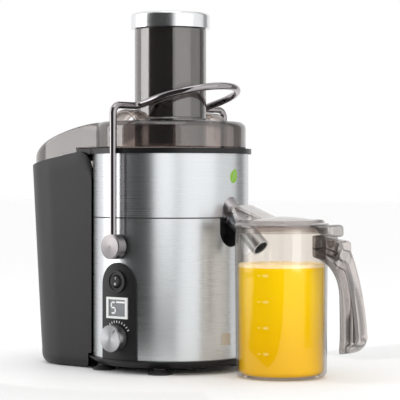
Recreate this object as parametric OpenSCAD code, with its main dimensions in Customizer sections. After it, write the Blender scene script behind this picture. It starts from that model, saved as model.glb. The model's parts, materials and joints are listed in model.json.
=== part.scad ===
// Centrifugal juicer: motor housing, filter bowl, lid with feed chute, pulp bin and juice jug.
// The housing axis is vertical. +X is the spout and jug side, -X the pulp bin, -Y the controls.
// Every module is drawn about the housing axis, and placed() moves it to the row's origin.

/* [Housing] */
// Outer radius of the steel housing
housing_r = 90; // [86:0.5:94]
// Height of the housing's underside above the surface
base_z = 7; // [6:0.5:8]
// Height of the seam between motor housing and filter bowl
seam_z = 174; // [172:1:176]
// Height of the bowl rim's underside
rim_z = 246; // [244:1:248]
// Thickness of the steel skins
skin_t = 0.8; // [0.6:0.1:1]
// Width of the spout notch in the motor housing
notch_w = 36; // [34:1:38]

/* [Lid] */
// Outer radius of the round part of the lid
lid_r = 87; // [86:0.5:88]
// Height of the lid's flat top
lid_z = 283; // [281:1:285]
// Wall of the lid and chute
lid_wall = 2.4; // [2:0.2:3]
// Outer radius of the feed chute
chute_r = 41.3; // [40.5:0.1:42]
// Height of the chute's mouth
chute_z = 390; // [380:1:400]
// Height of the top of the pusher
top_z = 408; // [404:1:412]

/* [Locking arm] */
// Diameter of the arm's rod
rod_d = 8; // [7:0.5:8]
// Height of the arm's pivots
pivot_z = 142; // [138:1:146]
// Distance of the upright rods from the middle plane
arm_y = 98; // [98:0.5:99]
// Slope of the loop round the chute
loop_tilt = 15; // [10:1:18]
// Radius of the loop round the chute
loop_r = 57; // [55:1:59]

/* [Spout] */
// Outer diameter of the spout
spout_d = 20.6; // [19:0.2:21]
// Slope of the spout below level
spout_tilt = 41.5; // [40:0.5:43]
// Length of the spout outside the housing
spout_len = 55.7; // [50:0.1:58]

/* [Pulp bin] */
// Distance from the housing axis to the bin's outer end
bin_reach = 195; // [192:1:198]
// Half width of the bin
bin_half = 73; // [72:0.5:74]
// Wall of the bin
bin_wall = 2.5; // [2:0.1:3]

/* [Jug] */
// Distance from the housing axis to the jug's axis
jug_x = 160; // [158:1:164]
// Outer radius of the jug's rim
jug_r = 51; // [50:0.5:52]
// Height of the jug's rim
jug_z = 164; // [160:1:166]
// Wall of the jug
jug_wall = 2.6; // [2.4:0.1:3]
// Distance from the jug's axis to the outside of its handle
handle_reach = 108; // [106:0.5:110]
// Width of the handle
handle_w = 22; // [20:1:24]

/* [Controls] */
// Half width of the control panel
panel_half = 25; // [24:0.5:26]
// Height of the top of the control panel
panel_z = 123; // [121:1:125]
// Height of the speed dial's axis
dial_z = 40; // [38:1:42]
// Diameter of the speed dial
dial_d = 30; // [28:1:32]
// Height of the middle of the display
display_z = 73.5; // [72:0.5:75]
// Height of the power switch's axis
switch_z = 103; // [101:1:104]

/* [Hidden] */
$fn = 96;
eps = 0.01;
// Running clearance on a radius, for a pin or shaft in its hole
running = 0.05;
// Row origin: the middle of the whole object's footprint
axis_x = (bin_reach - jug_x - handle_reach) / 2;

frame_r = housing_r - skin_t - 0.05;
base_lip_r = housing_r + 4;
pan_top = 15.3;
flange_r = housing_r + 3.4;
flange_t = 6;
rod_r = rod_d / 2;
loop_z = 300;
loop_straight = 28;
corner_r = 8;
bend_r = 10;
spout_r = spout_d / 2;
spout_bore_r = spout_r - 2;
collar_r = spout_r + 4.2;
spout_z = seam_z + 4;
bin_end_x = -(bin_reach - bin_half);
bin_taper = 16;
hug_r = housing_r + 2.3;
bin_rim_in = 249;
bin_rim_out = 230;
nest_gap = 1;
top_arc_r = 275;
top_arc_x = -30;
stack_z0 = 60;
stack_h = 45;
stator_r = 46;
bolt_y = 41.5;
pole_bore_r = 24.5;
bracket_z = 132;
shaft_r = 4;
basket_z = 196;
foot_x = 42;
foot_y = 67;
screw_r = 62;
panel_t = 2.2;
panel_face = housing_r + panel_t;
bezel_r = 12.6;
bezel_seat = housing_r + 1.6;
button_r = 7.4;
rocker_y = housing_r + 0.4;
trunnion_r = 1.2;

module placed() {
    translate([axis_x, 0, 0]) children();
}

// A round bar of radius r from y0 to y1, along Y at height z
module y_bar(r, y0, y1, z) {
    translate([0, y0, z]) rotate([-90, 0, 0]) cylinder(r = r, h = y1 - y0);
}

module tube(r_out, r_in, h) {
    difference() {
        cylinder(r = r_out, h = h);
        translate([0, 0, -1]) cylinder(r = r_in, h = h + 2);
    }
}

module ring_2d(r_out, r_in) {
    difference() {
        circle(r_out);
        circle(r_in);
    }
}

// A shape and its mirror image across the middle plane
module both_sides() {
    children();
    mirror([0, 1, 0]) children();
}

// ---------------------------------------------------------------- base

module foot_spots() {
    for (sx = [-1, 1], sy = [-1, 1]) translate([sx * foot_x, sy * foot_y, 0]) children();
}

module screw_spots() {
    for (a = [45 : 90 : 315]) rotate(a) translate([screw_r, 0, 0]) children();
}

module base_pan() {
    color("#3c3b3d") difference() {
        rotate_extrude() polygon([
            [0, base_z], [84, base_z], [base_lip_r, 13.5], [base_lip_r, pan_top], [86, pan_top],
            [86, 12.5], [83.5, 9.8], [0, 9.8]
        ]);
        foot_spots() cylinder(r = 3.6, h = 30);
        screw_spots() cylinder(r = 2.2, h = 30);
        for (a = [0 : 30 : 330]) rotate(a + 15) translate([14, -1.5, 0]) cube([24, 3, 30]);
    }
}

module suction_feet() {
    color("#1d1c1e") foot_spots() rotate_extrude() polygon([
        [0, 3], [6, 2.4], [11.5, 0], [13.5, 0], [13.5, 1.6], [9, 4.6], [7, 5.4],
        [7, base_z], [3.5, base_z], [3.5, 9.9], [5.2, 10], [3.6, 13], [0, 13]
    ]);
}

module base_screws() {
    color("silver") screw_spots() {
        translate([0, 0, base_z - 2]) cylinder(r = 3.6, h = 2);
        translate([0, 0, base_z - eps]) cylinder(r = 2.1, h = 12);
    }
}

// ---------------------------------------------------------------- motor housing

// U-shaped window for the spout, open at the top, with its round end at the bottom
module notch_prism(half, bottom, depth_from) {
    translate([depth_from, 0, 0]) rotate([90, 0, 90]) linear_extrude(60) union() {
        translate([0, bottom + half]) circle(half);
        translate([-half, bottom + half]) square([2 * half, 60]);
    }
}

module panel_outline(half, top) {
    union() {
        translate([0, top - half]) circle(half);
        translate([-half, 15.5]) square([2 * half, top - half - 15.5]);
    }
}

// Prism of a panel outline, standing out towards -Y from y0 to y1
module towards_front(y0, y1) {
    translate([0, -y0, 0]) rotate([90, 0, 0]) linear_extrude(y1 - y0) children();
}

module lower_housing() {
    color("#c9ccce") difference() {
        translate([0, 0, 15.5]) tube(housing_r, housing_r - skin_t, seam_z - 0.6 - 15.5);
        notch_prism(notch_w / 2, seam_z - 33, 60);
        towards_front(60, 110) panel_outline(panel_half - 3, panel_z - 3);
        y_bar(5, -110, 110, pivot_z);
        y_bar(6.2, 60, 110, 35);
    }
}

module motor_chassis() {
    notch_z = seam_z - 33;
    color("#2b2b2d") difference() {
        union() {
            translate([0, 0, 15.5]) tube(frame_r, frame_r - 2.8, seam_z - 4 - 15.5);
            difference() {
                translate([0, 0, seam_z - 4]) cylinder(r = frame_r, h = 3.4);
                translate([0, 0, seam_z - 5]) cylinder(r = 12, h = 6);
            }
            // pocket behind the spout notch
            intersection() {
                translate([66, -notch_w / 2 - 2, notch_z - 2]) cube([30, notch_w + 4, 35]);
                cylinder(r = frame_r, h = seam_z - 0.6);
            }
            // legs that take the base screws
            screw_spots() translate([0, 0, base_z + 2.9]) tube(5, 2.15, 26);
            for (a = [45 : 90 : 315]) rotate(a)
                translate([screw_r + 3, -2, pan_top + 0.3]) cube([frame_r - screw_r - 5, 4, 18]);
            // posts that the motor's rubber mounts hang from
            for (a = [45 : 90 : 315]) rotate(a) translate([56, 0, 146])
                cylinder(r = 6.5, h = seam_z - 149);
            // bosses for the arm's pins
            both_sides() y_bar(9, 70, frame_r - 2, pivot_z);
        }
        notch_prism(notch_w / 2 - 0.5, notch_z, 68);
        towards_front(60, 110) panel_outline(panel_half - 3, panel_z - 3);
        y_bar(rod_r, -110, 110, pivot_z);
        y_bar(6.2, 60, 110, 35);
        for (a = [45 : 90 : 315]) rotate(a) translate([56, 0, 140]) cylinder(r = 2, h = 20);
    }
}

module seam_gasket() {
    color("#161616") difference() {
        translate([0, 0, seam_z - 0.6]) tube(housing_r - 0.4, 80, 1.2);
        translate([60, -notch_w / 2, seam_z - 5]) cube([40, notch_w, 10]);
    }
}

// ---------------------------------------------------------------- controls

// A slab that follows the housing's curve between two radii, cut to a panel outline
module curved_panel(r_in, r_out, half, top) {
    intersection() {
        tube(r_out, r_in, 200);
        towards_front(60, 110) panel_outline(half, top);
    }
}

module panel_gasket() {
    color("#0f0f10") difference() {
        curved_panel(housing_r, housing_r + 1.1, panel_half + 0.9, panel_z + 0.9);
        towards_front(60, 110) panel_outline(panel_half - 2, panel_z - 2);
    }
}

module control_panel() {
    color("#38373a") difference() {
        curved_panel(housing_r + 1.1, panel_face, panel_half, panel_z);
        y_bar(11, -110, 0, switch_z);
        y_bar(bezel_r + running, -110, -bezel_seat, switch_z);
        y_bar(4.2, -110, 0, dial_z);
        towards_front(60, 110) translate([-15.6, display_z - 12.1]) square([31.2, 24.2]);
    }
}

module switch_bezel() {
    color("#29282a") difference() {
        union() {
            y_bar(bezel_r, -(panel_face + 1.6), -bezel_seat, switch_z);
            y_bar(10.8, -bezel_seat - eps, -(housing_r - 5), switch_z);
        }
        y_bar(button_r + 0.3, -110, 0, switch_z);
        // shallow dish round the button
        y_bar(10.4, -110, -(panel_face + 0.7), switch_z);
        // holes for the rocker's trunnions
        translate([-9.4, -rocker_y, switch_z]) rotate([0, 90, 0])
            cylinder(r = trunnion_r + running, h = 18.8);
    }
}

module power_switch() {
    color("#1b1b1c") difference() {
        translate([-9, -(housing_r - 5), switch_z - 10]) cube([18, 13, 20]);
        translate([0, -(housing_r - 2), switch_z]) sphere(r = 8.2);
    }
}

// Rocker turning about the level line through its middle, at rest with its lower half out
module power_button() {
    color("#434245") translate([0, -rocker_y, switch_z]) rotate([90 - 6, 0, 0]) union() {
        rotate_extrude() polygon([
            [0, -4], [6.2, -4], [7.2, -2], [button_r, 0], [7.2, 2.2], [6.2, 4.3], [5.4, 4.6],
            [0, 4.6]
        ]);
        translate([-9, 0, 0]) rotate([0, 90, 0]) cylinder(r = trunnion_r, h = 18);
    }
}

module display_frame() {
    color("#e6e7e6") difference() {
        towards_front(housing_r - 6, panel_face + 0.5)
            translate([-15.4, display_z - 11.9]) square([30.8, 23.8]);
        towards_front(80, 110) translate([-12.6, display_z - 9.4]) square([25.2, 18.8]);
    }
}

module display_screen() {
    color("#5b5d60") towards_front(housing_r - 3, housing_r + 1)
        translate([-12.5, display_z - 9.3]) square([25, 18.6]);
}

module control_board() {
    color("#1f6b3a") difference() {
        translate([-19, -(housing_r - 12), 24]) cube([38, 1.6, 66]);
        y_bar(4.6, -110, 0, dial_z);
    }
    color("#202022") translate([-13, -(housing_r - 6), display_z - 10])
        cube([26, 6 - eps, 20]);
}

module dial_encoder() {
    color("#9a9c9e") difference() {
        union() {
            translate([-7.5, -(housing_r - 13.6), dial_z - 7.5]) cube([15, 8, 15]);
            y_bar(4.5, -(housing_r - 2.5), -(housing_r - 13.6) + eps, dial_z);
        }
        y_bar(3 + running, -110, -(housing_r - 18), dial_z);
    }
}

module dial_shaft() {
    color("silver") y_bar(3, -(panel_face + 6), -(housing_r - 17.5), dial_z);
}

module speed_dial() {
    color("#d5d6d7") difference() {
        union() {
            y_bar(dial_d / 2, -(panel_face + 11.2), -(panel_face + 0.6), dial_z);
            y_bar(8, -(panel_face + 1), -(panel_face + 0.3), dial_z);
        }
        y_bar(dial_d / 2 - 2.2, -(panel_face + 8), 0, dial_z);
    }
    color("#d5d6d7") difference() {
        y_bar(5, -(panel_face + 8.1), -(panel_face + 0.3), dial_z);
        y_bar(3, -(panel_face + 6), 0, dial_z);
    }
}

module dial_cap() {
    color("#bfc1c2") translate([0, -(panel_face + 11.2), dial_z]) rotate([90, 0, 0])
        rotate_extrude() polygon([
            [0, 0], [dial_d / 2 - 0.3, 0], [dial_d / 2 - 1.1, 0.8], [0, 0.8]
        ]);
}

// ---------------------------------------------------------------- motor

module bracket_plan() {
    union() {
        circle(22);
        for (s = [-1, 1]) {
            translate([-6, min(0, s * bolt_y)]) square([12, bolt_y]);
            translate([0, s * bolt_y]) circle(6);
        }
    }
}

module bolt_spots() {
    for (s = [-1, 1]) translate([0, s * bolt_y, 0]) children();
}

module lower_bracket() {
    color("#8e9092") difference() {
        translate([0, 0, 30]) union() {
            linear_extrude(5) bracket_plan();
            cylinder(r = 14, h = 8);
            bolt_spots() cylinder(r = 5, h = stack_z0 - 30);
        }
        translate([0, 0, 31]) cylinder(r = 11, h = 10);
        translate([0, 0, 20]) cylinder(r = 6, h = 30);
        bolt_spots() translate([0, 0, 20]) cylinder(r = 2.5, h = 60);
    }
}

module upper_bracket() {
    color("#8e9092") difference() {
        union() {
            translate([0, 0, bracket_z]) linear_extrude(5) union() {
                bracket_plan();
                for (a = [45 : 90 : 315]) rotate(a) translate([0, -7]) square([62, 14]);
            }
            translate([0, 0, bracket_z]) cylinder(r = 14, h = 10);
            bolt_spots() translate([0, 0, stack_z0 + stack_h])
                cylinder(r = 5, h = bracket_z - stack_z0 - stack_h + 1);
        }
        translate([0, 0, bracket_z + 2]) cylinder(r = 11, h = 20);
        translate([0, 0, 120]) cylinder(r = 6, h = 30);
        bolt_spots() translate([0, 0, 100]) cylinder(r = 2.5, h = 60);
        for (a = [45 : 90 : 315]) rotate(a) translate([56, 0, 120]) cylinder(r = 2.5, h = 30);
    }
}

module bracket_bolts() {
    color("silver") bolt_spots() {
        translate([0, 0, 26]) cylinder(r = 4, h = 4);
        translate([0, 0, 30 - eps]) cylinder(r = 2.4, h = bracket_z - 22);
        translate([0, 0, bracket_z + 5]) cylinder(r = 4, h = 3);
    }
    color("silver") for (a = [45 : 90 : 315]) rotate(a) translate([56, 0, 0]) {
        translate([0, 0, bracket_z - 2.4]) cylinder(r = 4, h = 2.4);
        translate([0, 0, bracket_z - eps]) cylinder(r = 1.9, h = 24);
    }
}

module motor_mounts() {
    color("#1d1c1e") for (a = [45 : 90 : 315]) rotate(a) translate([56, 0, bracket_z + 5])
        rotate_extrude() polygon([
            [2, 0], [6.5, 0], [6.5, 3], [5.2, 4], [5.2, 5], [6.5, 6], [6.5, 9], [2, 9]
        ]);
}

module stator() {
    color("#6f7174") translate([0, 0, stack_z0]) linear_extrude(stack_h) union() {
        difference() {
            ring_2d(stator_r, 37);
            for (s = [-1, 1]) translate([0, s * bolt_y]) circle(2.5);
        }
        for (a = [0, 180]) rotate(a) {
            intersection() {
                ring_2d(30, pole_bore_r);
                polygon([[0, 0], [40, 50], [60, 0], [40, -50]]);
            }
            translate([29, -9]) square([9, 18]);
        }
    }
}

module field_coils() {
    color("#a35a2a") for (a = [0, 180]) rotate(a) difference() {
        translate([0, 0, stack_z0 - 7]) linear_extrude(stack_h + 14) intersection() {
            ring_2d(36.8, 30.2);
            polygon([[0, 0], [50, 26], [50, -26]]);
        }
        translate([20, -9.2, stack_z0 - 0.2]) cube([30, 18.4, stack_h + 0.4]);
    }
}

module armature() {
    color("#7c7e80") translate([0, 0, stack_z0]) difference() {
        cylinder(r = pole_bore_r - 0.7, h = stack_h);
        translate([0, 0, -1]) cylinder(r = shaft_r, h = stack_h + 2);
        for (a = [0 : 30 : 330]) rotate(a) translate([20.5, 0, -1])
            cylinder(r = 2.2, h = stack_h + 2);
    }
}

module commutator() {
    color("#b87333") translate([0, 0, 116]) difference() {
        cylinder(r = 12, h = 12);
        translate([0, 0, -1]) cylinder(r = shaft_r, h = 20);
        for (a = [0 : 30 : 330]) rotate(a) translate([10.8, -0.3, -1]) cube([4, 0.6, 20]);
    }
}

module cooling_fan() {
    color("#2c2c2e") translate([0, 0, 41]) difference() {
        union() {
            cylinder(r = 27.5, h = 1.5);
            cylinder(r = 8, h = 9);
            for (a = [0 : 40 : 320]) rotate(a) translate([7, -0.6, 1]) cube([20, 1.2, 7]);
        }
        translate([0, 0, -1]) cylinder(r = shaft_r, h = 20);
    }
}

module brush_holders() {
    color("#8a6a2f") for (a = [0, 180]) rotate(a) difference() {
        translate([14.5, -6, 117]) cube([20, 12, 15]);
        translate([10, -4.05, 118.95]) cube([21, 8.1, 8.1]);
    }
}

module carbon_brushes() {
    color("#262626") for (a = [0, 180]) rotate(a)
        translate([12.3, -4, 119]) cube([17, 8, 8]);
}

module bearing(z) {
    color("#a9abad") translate([0, 0, z]) difference() {
        cylinder(r = 11, h = 7);
        translate([0, 0, -1]) cylinder(r = shaft_r + running, h = 9);
        for (t = [-1.5, 6.5]) translate([0, 0, t]) tube(9, 6, 2);
    }
}

module lower_bearing() bearing(31);

module upper_bearing() bearing(bracket_z + 2);

module shaft_seal() {
    color("#1d1c1e") translate([0, 0, seam_z - 6]) difference() {
        union() {
            cylinder(r = 12, h = 5.4);
            cylinder(r = 15, h = 2);
        }
        translate([0, 0, -1]) cylinder(r = shaft_r + running, h = 9);
    }
}

module motor_shaft() {
    color("silver") union() {
        translate([0, 0, 29]) cylinder(r = shaft_r, h = 205);
        // thread and nut that hold the basket down
        translate([0, 0, 206]) cylinder(r = 7, h = 6, $fn = 6);
    }
}

module drive_coupling() {
    color("#2c2c2e") difference() {
        translate([0, 0, seam_z + 2]) union() {
            cylinder(r = 10.5, h = 16);
            for (a = [0 : 60 : 300]) rotate(a) translate([0, -1.5, 10])
                cube([12, 3, 9.9]);
        }
        cylinder(r = shaft_r, h = 300);
    }
}

// ---------------------------------------------------------------- basket

module filter_basket() {
    color("#b9bcbe") difference() {
        rotate_extrude() polygon([
            [shaft_r, basket_z], [48, basket_z], [79, 240], [82.5, 240], [82.5, 241.4],
            [78.2, 241.4], [47.4, basket_z + 1.2], [shaft_r, basket_z + 1.2]
        ]);
        // the driving holes over the coupling's dogs
        for (a = [0 : 60 : 300]) rotate(a) translate([5, -1.8, basket_z - 2]) cube([8, 3.6, 6]);
    }
}

module grating_disc() {
    color("#d0d2d3") translate([0, 0, basket_z + 1.3]) difference() {
        union() {
            cylinder(r = 44, h = 1);
            for (r = [16 : 5 : 41]) for (a = [0 : 30 : 330])
                rotate(a + r * 3) translate([r, -0.9, 0.9]) cube([1.8, 1.8, 1.6]);
        }
        translate([0, 0, -1]) cylinder(r = shaft_r, h = 6);
    }
}

// ---------------------------------------------------------------- filter bowl

// Places a shape whose +Z is the spout's outflow direction at the point where it leaves the housing
module on_spout() {
    translate([housing_r, 0, spout_z]) rotate([0, 90 + spout_tilt, 0]) children();
}

// The rim's shoulder that carries the pulp over the bin
module outlet_plan(x_end, half) {
    translate([x_end, -half]) square([-x_end - 40, 2 * half]);
}

module filter_bowl() {
    bowl_r = housing_r - skin_t - 0.05;
    color("#202022") difference() {
        union() {
            rotate_extrude() polygon([
                [14, seam_z + 2.2], [bowl_r, seam_z + 0.6], [bowl_r, rim_z],
                [flange_r, rim_z], [flange_r, rim_z + flange_t], [lid_r + 0.4, rim_z + flange_t],
                [lid_r + 0.4, rim_z + 4], [bowl_r - 2.6, rim_z + 4], [bowl_r - 2.6, seam_z + 3.8],
                [17, seam_z + 5.4], [17, seam_z + 14], [14, seam_z + 14]
            ]);
            // shoulder over the bin
            difference() {
                union() {
                    translate([0, 0, rim_z]) linear_extrude(flange_t)
                        outlet_plan(-83.5, bin_half - bin_wall - nest_gap);
                    translate([0, 0, rim_z]) linear_extrude(3) outlet_plan(-112, 62);
                    translate([-114, -62, rim_z - 7]) cube([2.5, 124, 10]);
                }
                translate([0, 0, rim_z - 1]) cylinder(r = bowl_r - 1, h = flange_t + 2);
                translate([-130, -62, rim_z + 3]) cube([120, 124, 10]);
                translate([-83.5 - 2, -80, rim_z + 3]) rotate([0, -35, 0]) cube([6, 160, 12]);
            }
            // boss round the spout
            intersection() {
                on_spout() translate([0, 0, -16]) cylinder(r = spout_r + 3, h = 14.6);
                translate([0, 0, seam_z - 12]) cylinder(r = bowl_r - 0.3, h = 40);
                translate([60, -notch_w / 2 + 1, seam_z - 12]) cube([60, notch_w - 2, 50]);
            }
        }
        on_spout() translate([0, 0, -22]) cylinder(r = spout_bore_r, h = 60);
        on_spout() translate([0, 0, -12]) cylinder(r = spout_r, h = 60);
    }
}

module bowl_skin() {
    color("#cfd2d4") difference() {
        translate([0, 0, seam_z + 0.6])
            tube(housing_r, housing_r - skin_t, rim_z - seam_z - 0.6);
        on_spout() translate([0, 0, -30]) cylinder(r = spout_r + 2, h = 60);
    }
}

module spout_collar() {
    color("#c4c7c9") difference() {
        on_spout() union() {
            translate([0, 0, -14]) cylinder(r = collar_r, h = 13 + eps);
            translate([0, 0, -1]) cylinder(r1 = collar_r, r2 = 12.4, h = 4);
            translate([0, 0, 3 - eps]) cylinder(r = 11.8, h = 3);
        }
        on_spout() translate([0, 0, -20]) cylinder(r = spout_r, h = 42);
        translate([0, 0, 100]) cylinder(r = housing_r + 0.05, h = 120);
    }
}

module spout() {
    color("#9d9fa1") on_spout() difference() {
        translate([0, 0, -12]) cylinder(r = spout_r, h = 12 + spout_len);
        translate([0, 0, -20]) cylinder(r = spout_bore_r, h = 100);
    }
}

// ---------------------------------------------------------------- lid

module lid_plan(inset) {
    half = bin_half - bin_wall - nest_gap - inset;
    union() {
        translate([bin_end_x + 1.5, 0]) circle(half);
        translate([bin_end_x + 1.5, -half]) square([-bin_end_x, 2 * half]);
    }
}

// The lid's tail over the bin, under a long round arc
module lid_tail(inset, z0) {
    intersection() {
        translate([0, 0, z0]) linear_extrude(lid_z - inset - z0) lid_plan(inset);
        translate([top_arc_x, 0, 0])
            y_bar(top_arc_r - inset, -100, 100, lid_z - top_arc_r + 0.6);
    }
}

// Round cap with a rolled top edge
module lid_cap(inset, z0) {
    edge = 8 - inset / 2;
    r = lid_r - inset;
    translate([0, 0, z0]) rotate_extrude() union() {
        square([r, lid_z - inset - z0 - edge]);
        square([r - edge, lid_z - inset - z0]);
        translate([r - edge, lid_z - inset - z0 - edge]) circle(edge);
    }
}

// Arched humps under the arm's level rods
module lid_ears(grow) {
    both_sides() intersection() {
        y_bar(25.5 + grow, 57 - grow, 80 + grow, 270);
        translate([-30, 50, lid_z - 6]) cube([60, 40, 60]);
    }
}

module lid() {
    skirt_z = rim_z + flange_t + 0.2;
    color([0.42, 0.37, 0.35, 0.6]) difference() {
        union() {
            lid_cap(0, skirt_z);
            difference() {
                lid_tail(0, 224);
                translate([-84.2, -100, 200]) cube([200, 200, skirt_z - 200]);
                cylinder(r = lid_r - 3, h = 400);
            }
            lid_ears(0);
            translate([0, 0, lid_z - 3]) cylinder(r = chute_r, h = chute_z - lid_z + 3);
            translate([0, 0, lid_z - 3]) cylinder(r = chute_r + 3.2, h = 6.5);
            translate([0, 0, lid_z - 28]) cylinder(r = chute_r, h = 28);
        }
        difference() {
            union() {
                lid_cap(lid_wall, skirt_z - 20);
                difference() {
                    lid_tail(lid_wall, 200);
                    translate([-60, -100, 190]) cube([200, 200, skirt_z + 3 - 190]);
                }
                lid_ears(-lid_wall);
            }
            // the chute's inner length stays
            translate([0, 0, lid_z - 28]) cylinder(r = chute_r, h = 60);
        }
        translate([0, 0, 200]) cylinder(r = chute_r - lid_wall, h = 300);
    }
}

module lid_seal() {
    color("#161616") translate([0, 0, rim_z + 4]) tube(lid_r + 0.3, lid_r - 2.2, 1.9);
}

// ---------------------------------------------------------------- locking arm

module pivot_pins() {
    color("silver") both_sides() union() {
        y_bar(rod_r, 72, 100, pivot_z);
        y_bar(6.5, 66, 70, pivot_z);
        y_bar(rod_r, 69, 73, pivot_z);
    }
}

module pivot_washers() {
    color("#1d1c1e") both_sides() difference() {
        y_bar(9, housing_r + 0.1, housing_r + 1.6, pivot_z);
        y_bar(rod_r + running, 80, 110, pivot_z);
    }
}

module pivot_caps() {
    color("#c8cacc") both_sides() difference() {
        union() {
            y_bar(14, housing_r + 2, 103, pivot_z);
            y_bar(12.8, 102, 104, pivot_z);
        }
        y_bar(rod_r + running, 80, 100.5, pivot_z);
        translate([0, arm_y, pivot_z + 7]) cylinder(r = rod_r + eps, h = 20);
    }
}

// Bend of the rod in the XY plane, of the given angle about the origin, from +X round
module rod_bend(r, angle) {
    rotate_extrude(angle = angle) translate([r, 0]) circle(rod_r);
}

// One upright of the arm with its bend and its level rod, on the +Y side
module arm_side() {
    union() {
        translate([0, arm_y, pivot_z + 7])
            cylinder(r = rod_r, h = loop_z - bend_r - pivot_z - 7);
        translate([0, arm_y - bend_r, loop_z - bend_r]) rotate([90, 0, 90])
            rod_bend(bend_r, 90);
        y_bar(rod_r, loop_r + corner_r, arm_y - bend_r, loop_z);
    }
}

// The loop round the chute, in its own sloping plane
module arm_loop() {
    union() {
        translate([loop_straight, 0, 0]) rotate(-90) rod_bend(loop_r, 180);
        both_sides() {
            translate([corner_r, loop_r, 0]) rotate([0, 90, 0])
                cylinder(r = rod_r, h = loop_straight - corner_r);
            translate([corner_r, loop_r + corner_r, 0]) rotate(180) rod_bend(corner_r, 90);
        }
    }
}

module locking_arm() {
    color("#b4b6b8") union() {
        both_sides() arm_side();
        translate([0, 0, loop_z]) rotate([0, -loop_tilt, 0]) arm_loop();
    }
}

module safety_switch() {
    color("#22344f") translate([-8, 77, pivot_z - 26]) cube([16, 8.9, 12]);
    color("silver") translate([-1.5, 80, pivot_z - 14 - eps]) cube([3, 3, 3]);
}

// ---------------------------------------------------------------- pusher

module pusher() {
    color([0.2, 0.18, 0.18, 0.9]) difference() {
        translate([0, 0, 258]) cylinder(r = chute_r - lid_wall - 1, h = chute_z + 0.4 - 258);
        translate([0, 0, 261]) cylinder(r = chute_r - lid_wall - 3.2, h = 200);
    }
}

module pusher_cap() {
    cap_r = 45.5;
    edge = 4;
    color("#c2c4c6") translate([0, 0, chute_z + 0.4]) difference() {
        rotate_extrude() union() {
            square([cap_r, top_z - chute_z - 0.4 - edge]);
            square([cap_r - edge, top_z - chute_z - 0.4]);
            translate([cap_r - edge, top_z - chute_z - 0.4 - edge]) circle(edge);
        }
        translate([0, 0, -1]) cylinder(r = chute_r - lid_wall - 3.2, h = 14);
    }
}

// ---------------------------------------------------------------- pulp bin

module bin_plan(reach, half) {
    union() {
        translate([-(reach - half), 0]) circle(half, $fn = 64);
        translate([-(reach - half), -half]) square([reach - half - 30, 2 * half]);
    }
}

// Tapered block between a small plan at z0 and the full plan at z1
module bin_block(inset, z0, z1) {
    hull() {
        translate([0, 0, z0]) linear_extrude(0.1)
            bin_plan(bin_reach - bin_taper - inset - 9, bin_half - inset - 9);
        translate([0, 0, z0 + 12]) linear_extrude(0.1)
            bin_plan(bin_reach - bin_taper - inset, bin_half - inset - 1);
        translate([0, 0, z1]) linear_extrude(0.1)
            bin_plan(bin_reach - inset, bin_half - inset);
    }
}

// Side outline: sloping rim with a rounded shoulder next to the housing
module bin_side() {
    shoulder = 20;
    shoulder_x = -hug_r + 15;
    slope = (bin_rim_in - bin_rim_out) / (bin_reach + shoulder_x);
    rotate([90, 0, 0]) linear_extrude(200, center = true) union() {
        polygon([
            [-bin_reach - 5, -1], [-40, -1], [-40, bin_rim_in - shoulder],
            [shoulder_x, bin_rim_in - shoulder], [shoulder_x, bin_rim_in],
            [-bin_reach, bin_rim_in - slope * (bin_reach + shoulder_x)],
            [-bin_reach - 5, bin_rim_out - 4]
        ]);
        intersection() {
            translate([shoulder_x, bin_rim_in - shoulder]) circle(shoulder);
            translate([shoulder_x - eps, 0]) square([60, 300]);
        }
    }
}

module pulp_bin() {
    color("#4a494b") difference() {
        intersection() {
            bin_block(0, 0.3, bin_rim_in + 1);
            bin_side();
        }
        difference() {
            bin_block(bin_wall, 3, bin_rim_in + 3);
            cylinder(r = hug_r + bin_wall, h = 400);
        }
        translate([0, 0, -1]) cylinder(r = hug_r, h = 400);
        // room for the housing's lower lip
        translate([0, 0, -1]) cylinder(r = base_lip_r + 0.8, h = 19);
        // mouth for the pulp, over the wall next to the housing
        translate([-118, -(bin_half - bin_wall), 222])
            cube([118, 2 * (bin_half - bin_wall), 60]);
    }
}

// ---------------------------------------------------------------- jug

module at_jug() {
    translate([jug_x, 0, 0]) children();
}

module jug_profile(inset, z0) {
    edge = 8;
    foot_r = jug_r - 1 - inset;
    union() {
        translate([foot_r - edge, z0 + edge]) circle(edge);
        polygon([
            [0, z0], [foot_r - edge, z0], [foot_r - edge, z0 + edge], [foot_r, z0 + edge],
            [jug_r - inset, jug_z + inset], [0, jug_z + inset]
        ]);
    }
}

module jug() {
    color([0.55, 0.5, 0.48, 0.35]) at_jug() difference() {
        rotate_extrude() jug_profile(0, 0);
        rotate_extrude() jug_profile(jug_wall, jug_wall + 0.4);
        // gap in the wall for the spout
        translate([-80, 0, 144]) rotate([0, 90, 0]) cylinder(r = 12, h = 60);
        translate([-80, -12, 144]) cube([60, 24, 40]);
    }
}

// Outline of the handle in the XZ plane: an arc outside, a straight grip and an arched root inside
module handle_outline() {
    grip_r = 83.3;
    difference() {
        intersection() {
            translate([handle_reach - 271.8, 33.7]) circle(272.8);
            polygon([
                [jug_r - 0.7, 131.5], [jug_r + 12, 31], [88, 31], [112, 31], [112, 149],
                [82, 153.5], [jug_r - 0.2, 157]
            ]);
        }
        translate([42.8, 92]) circle(40.5);
        translate([0, 20]) square([grip_r, 72]);
        // rounded lower corners
        difference() {
            translate([88, 30]) square([30, 21]);
            translate([88, 51]) circle(20);
        }
        difference() {
            translate([grip_r - 1, 30]) square([5, 5]);
            translate([grip_r + 4, 35]) circle(4);
        }
    }
}

module handle_pockets() {
    intersection() {
        translate([handle_reach - 271.8 - 2.2, 33.7]) circle(272.8);
        difference() {
            translate([83, 40]) square([40, 92]);
            translate([42.8 - 0.5, 92]) circle(52);
            translate([70, 30]) square([24.2, 62]);
        }
    }
    polygon([[79, 147], [84, 139], [83, 126], [74, 130]]);
}

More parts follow.
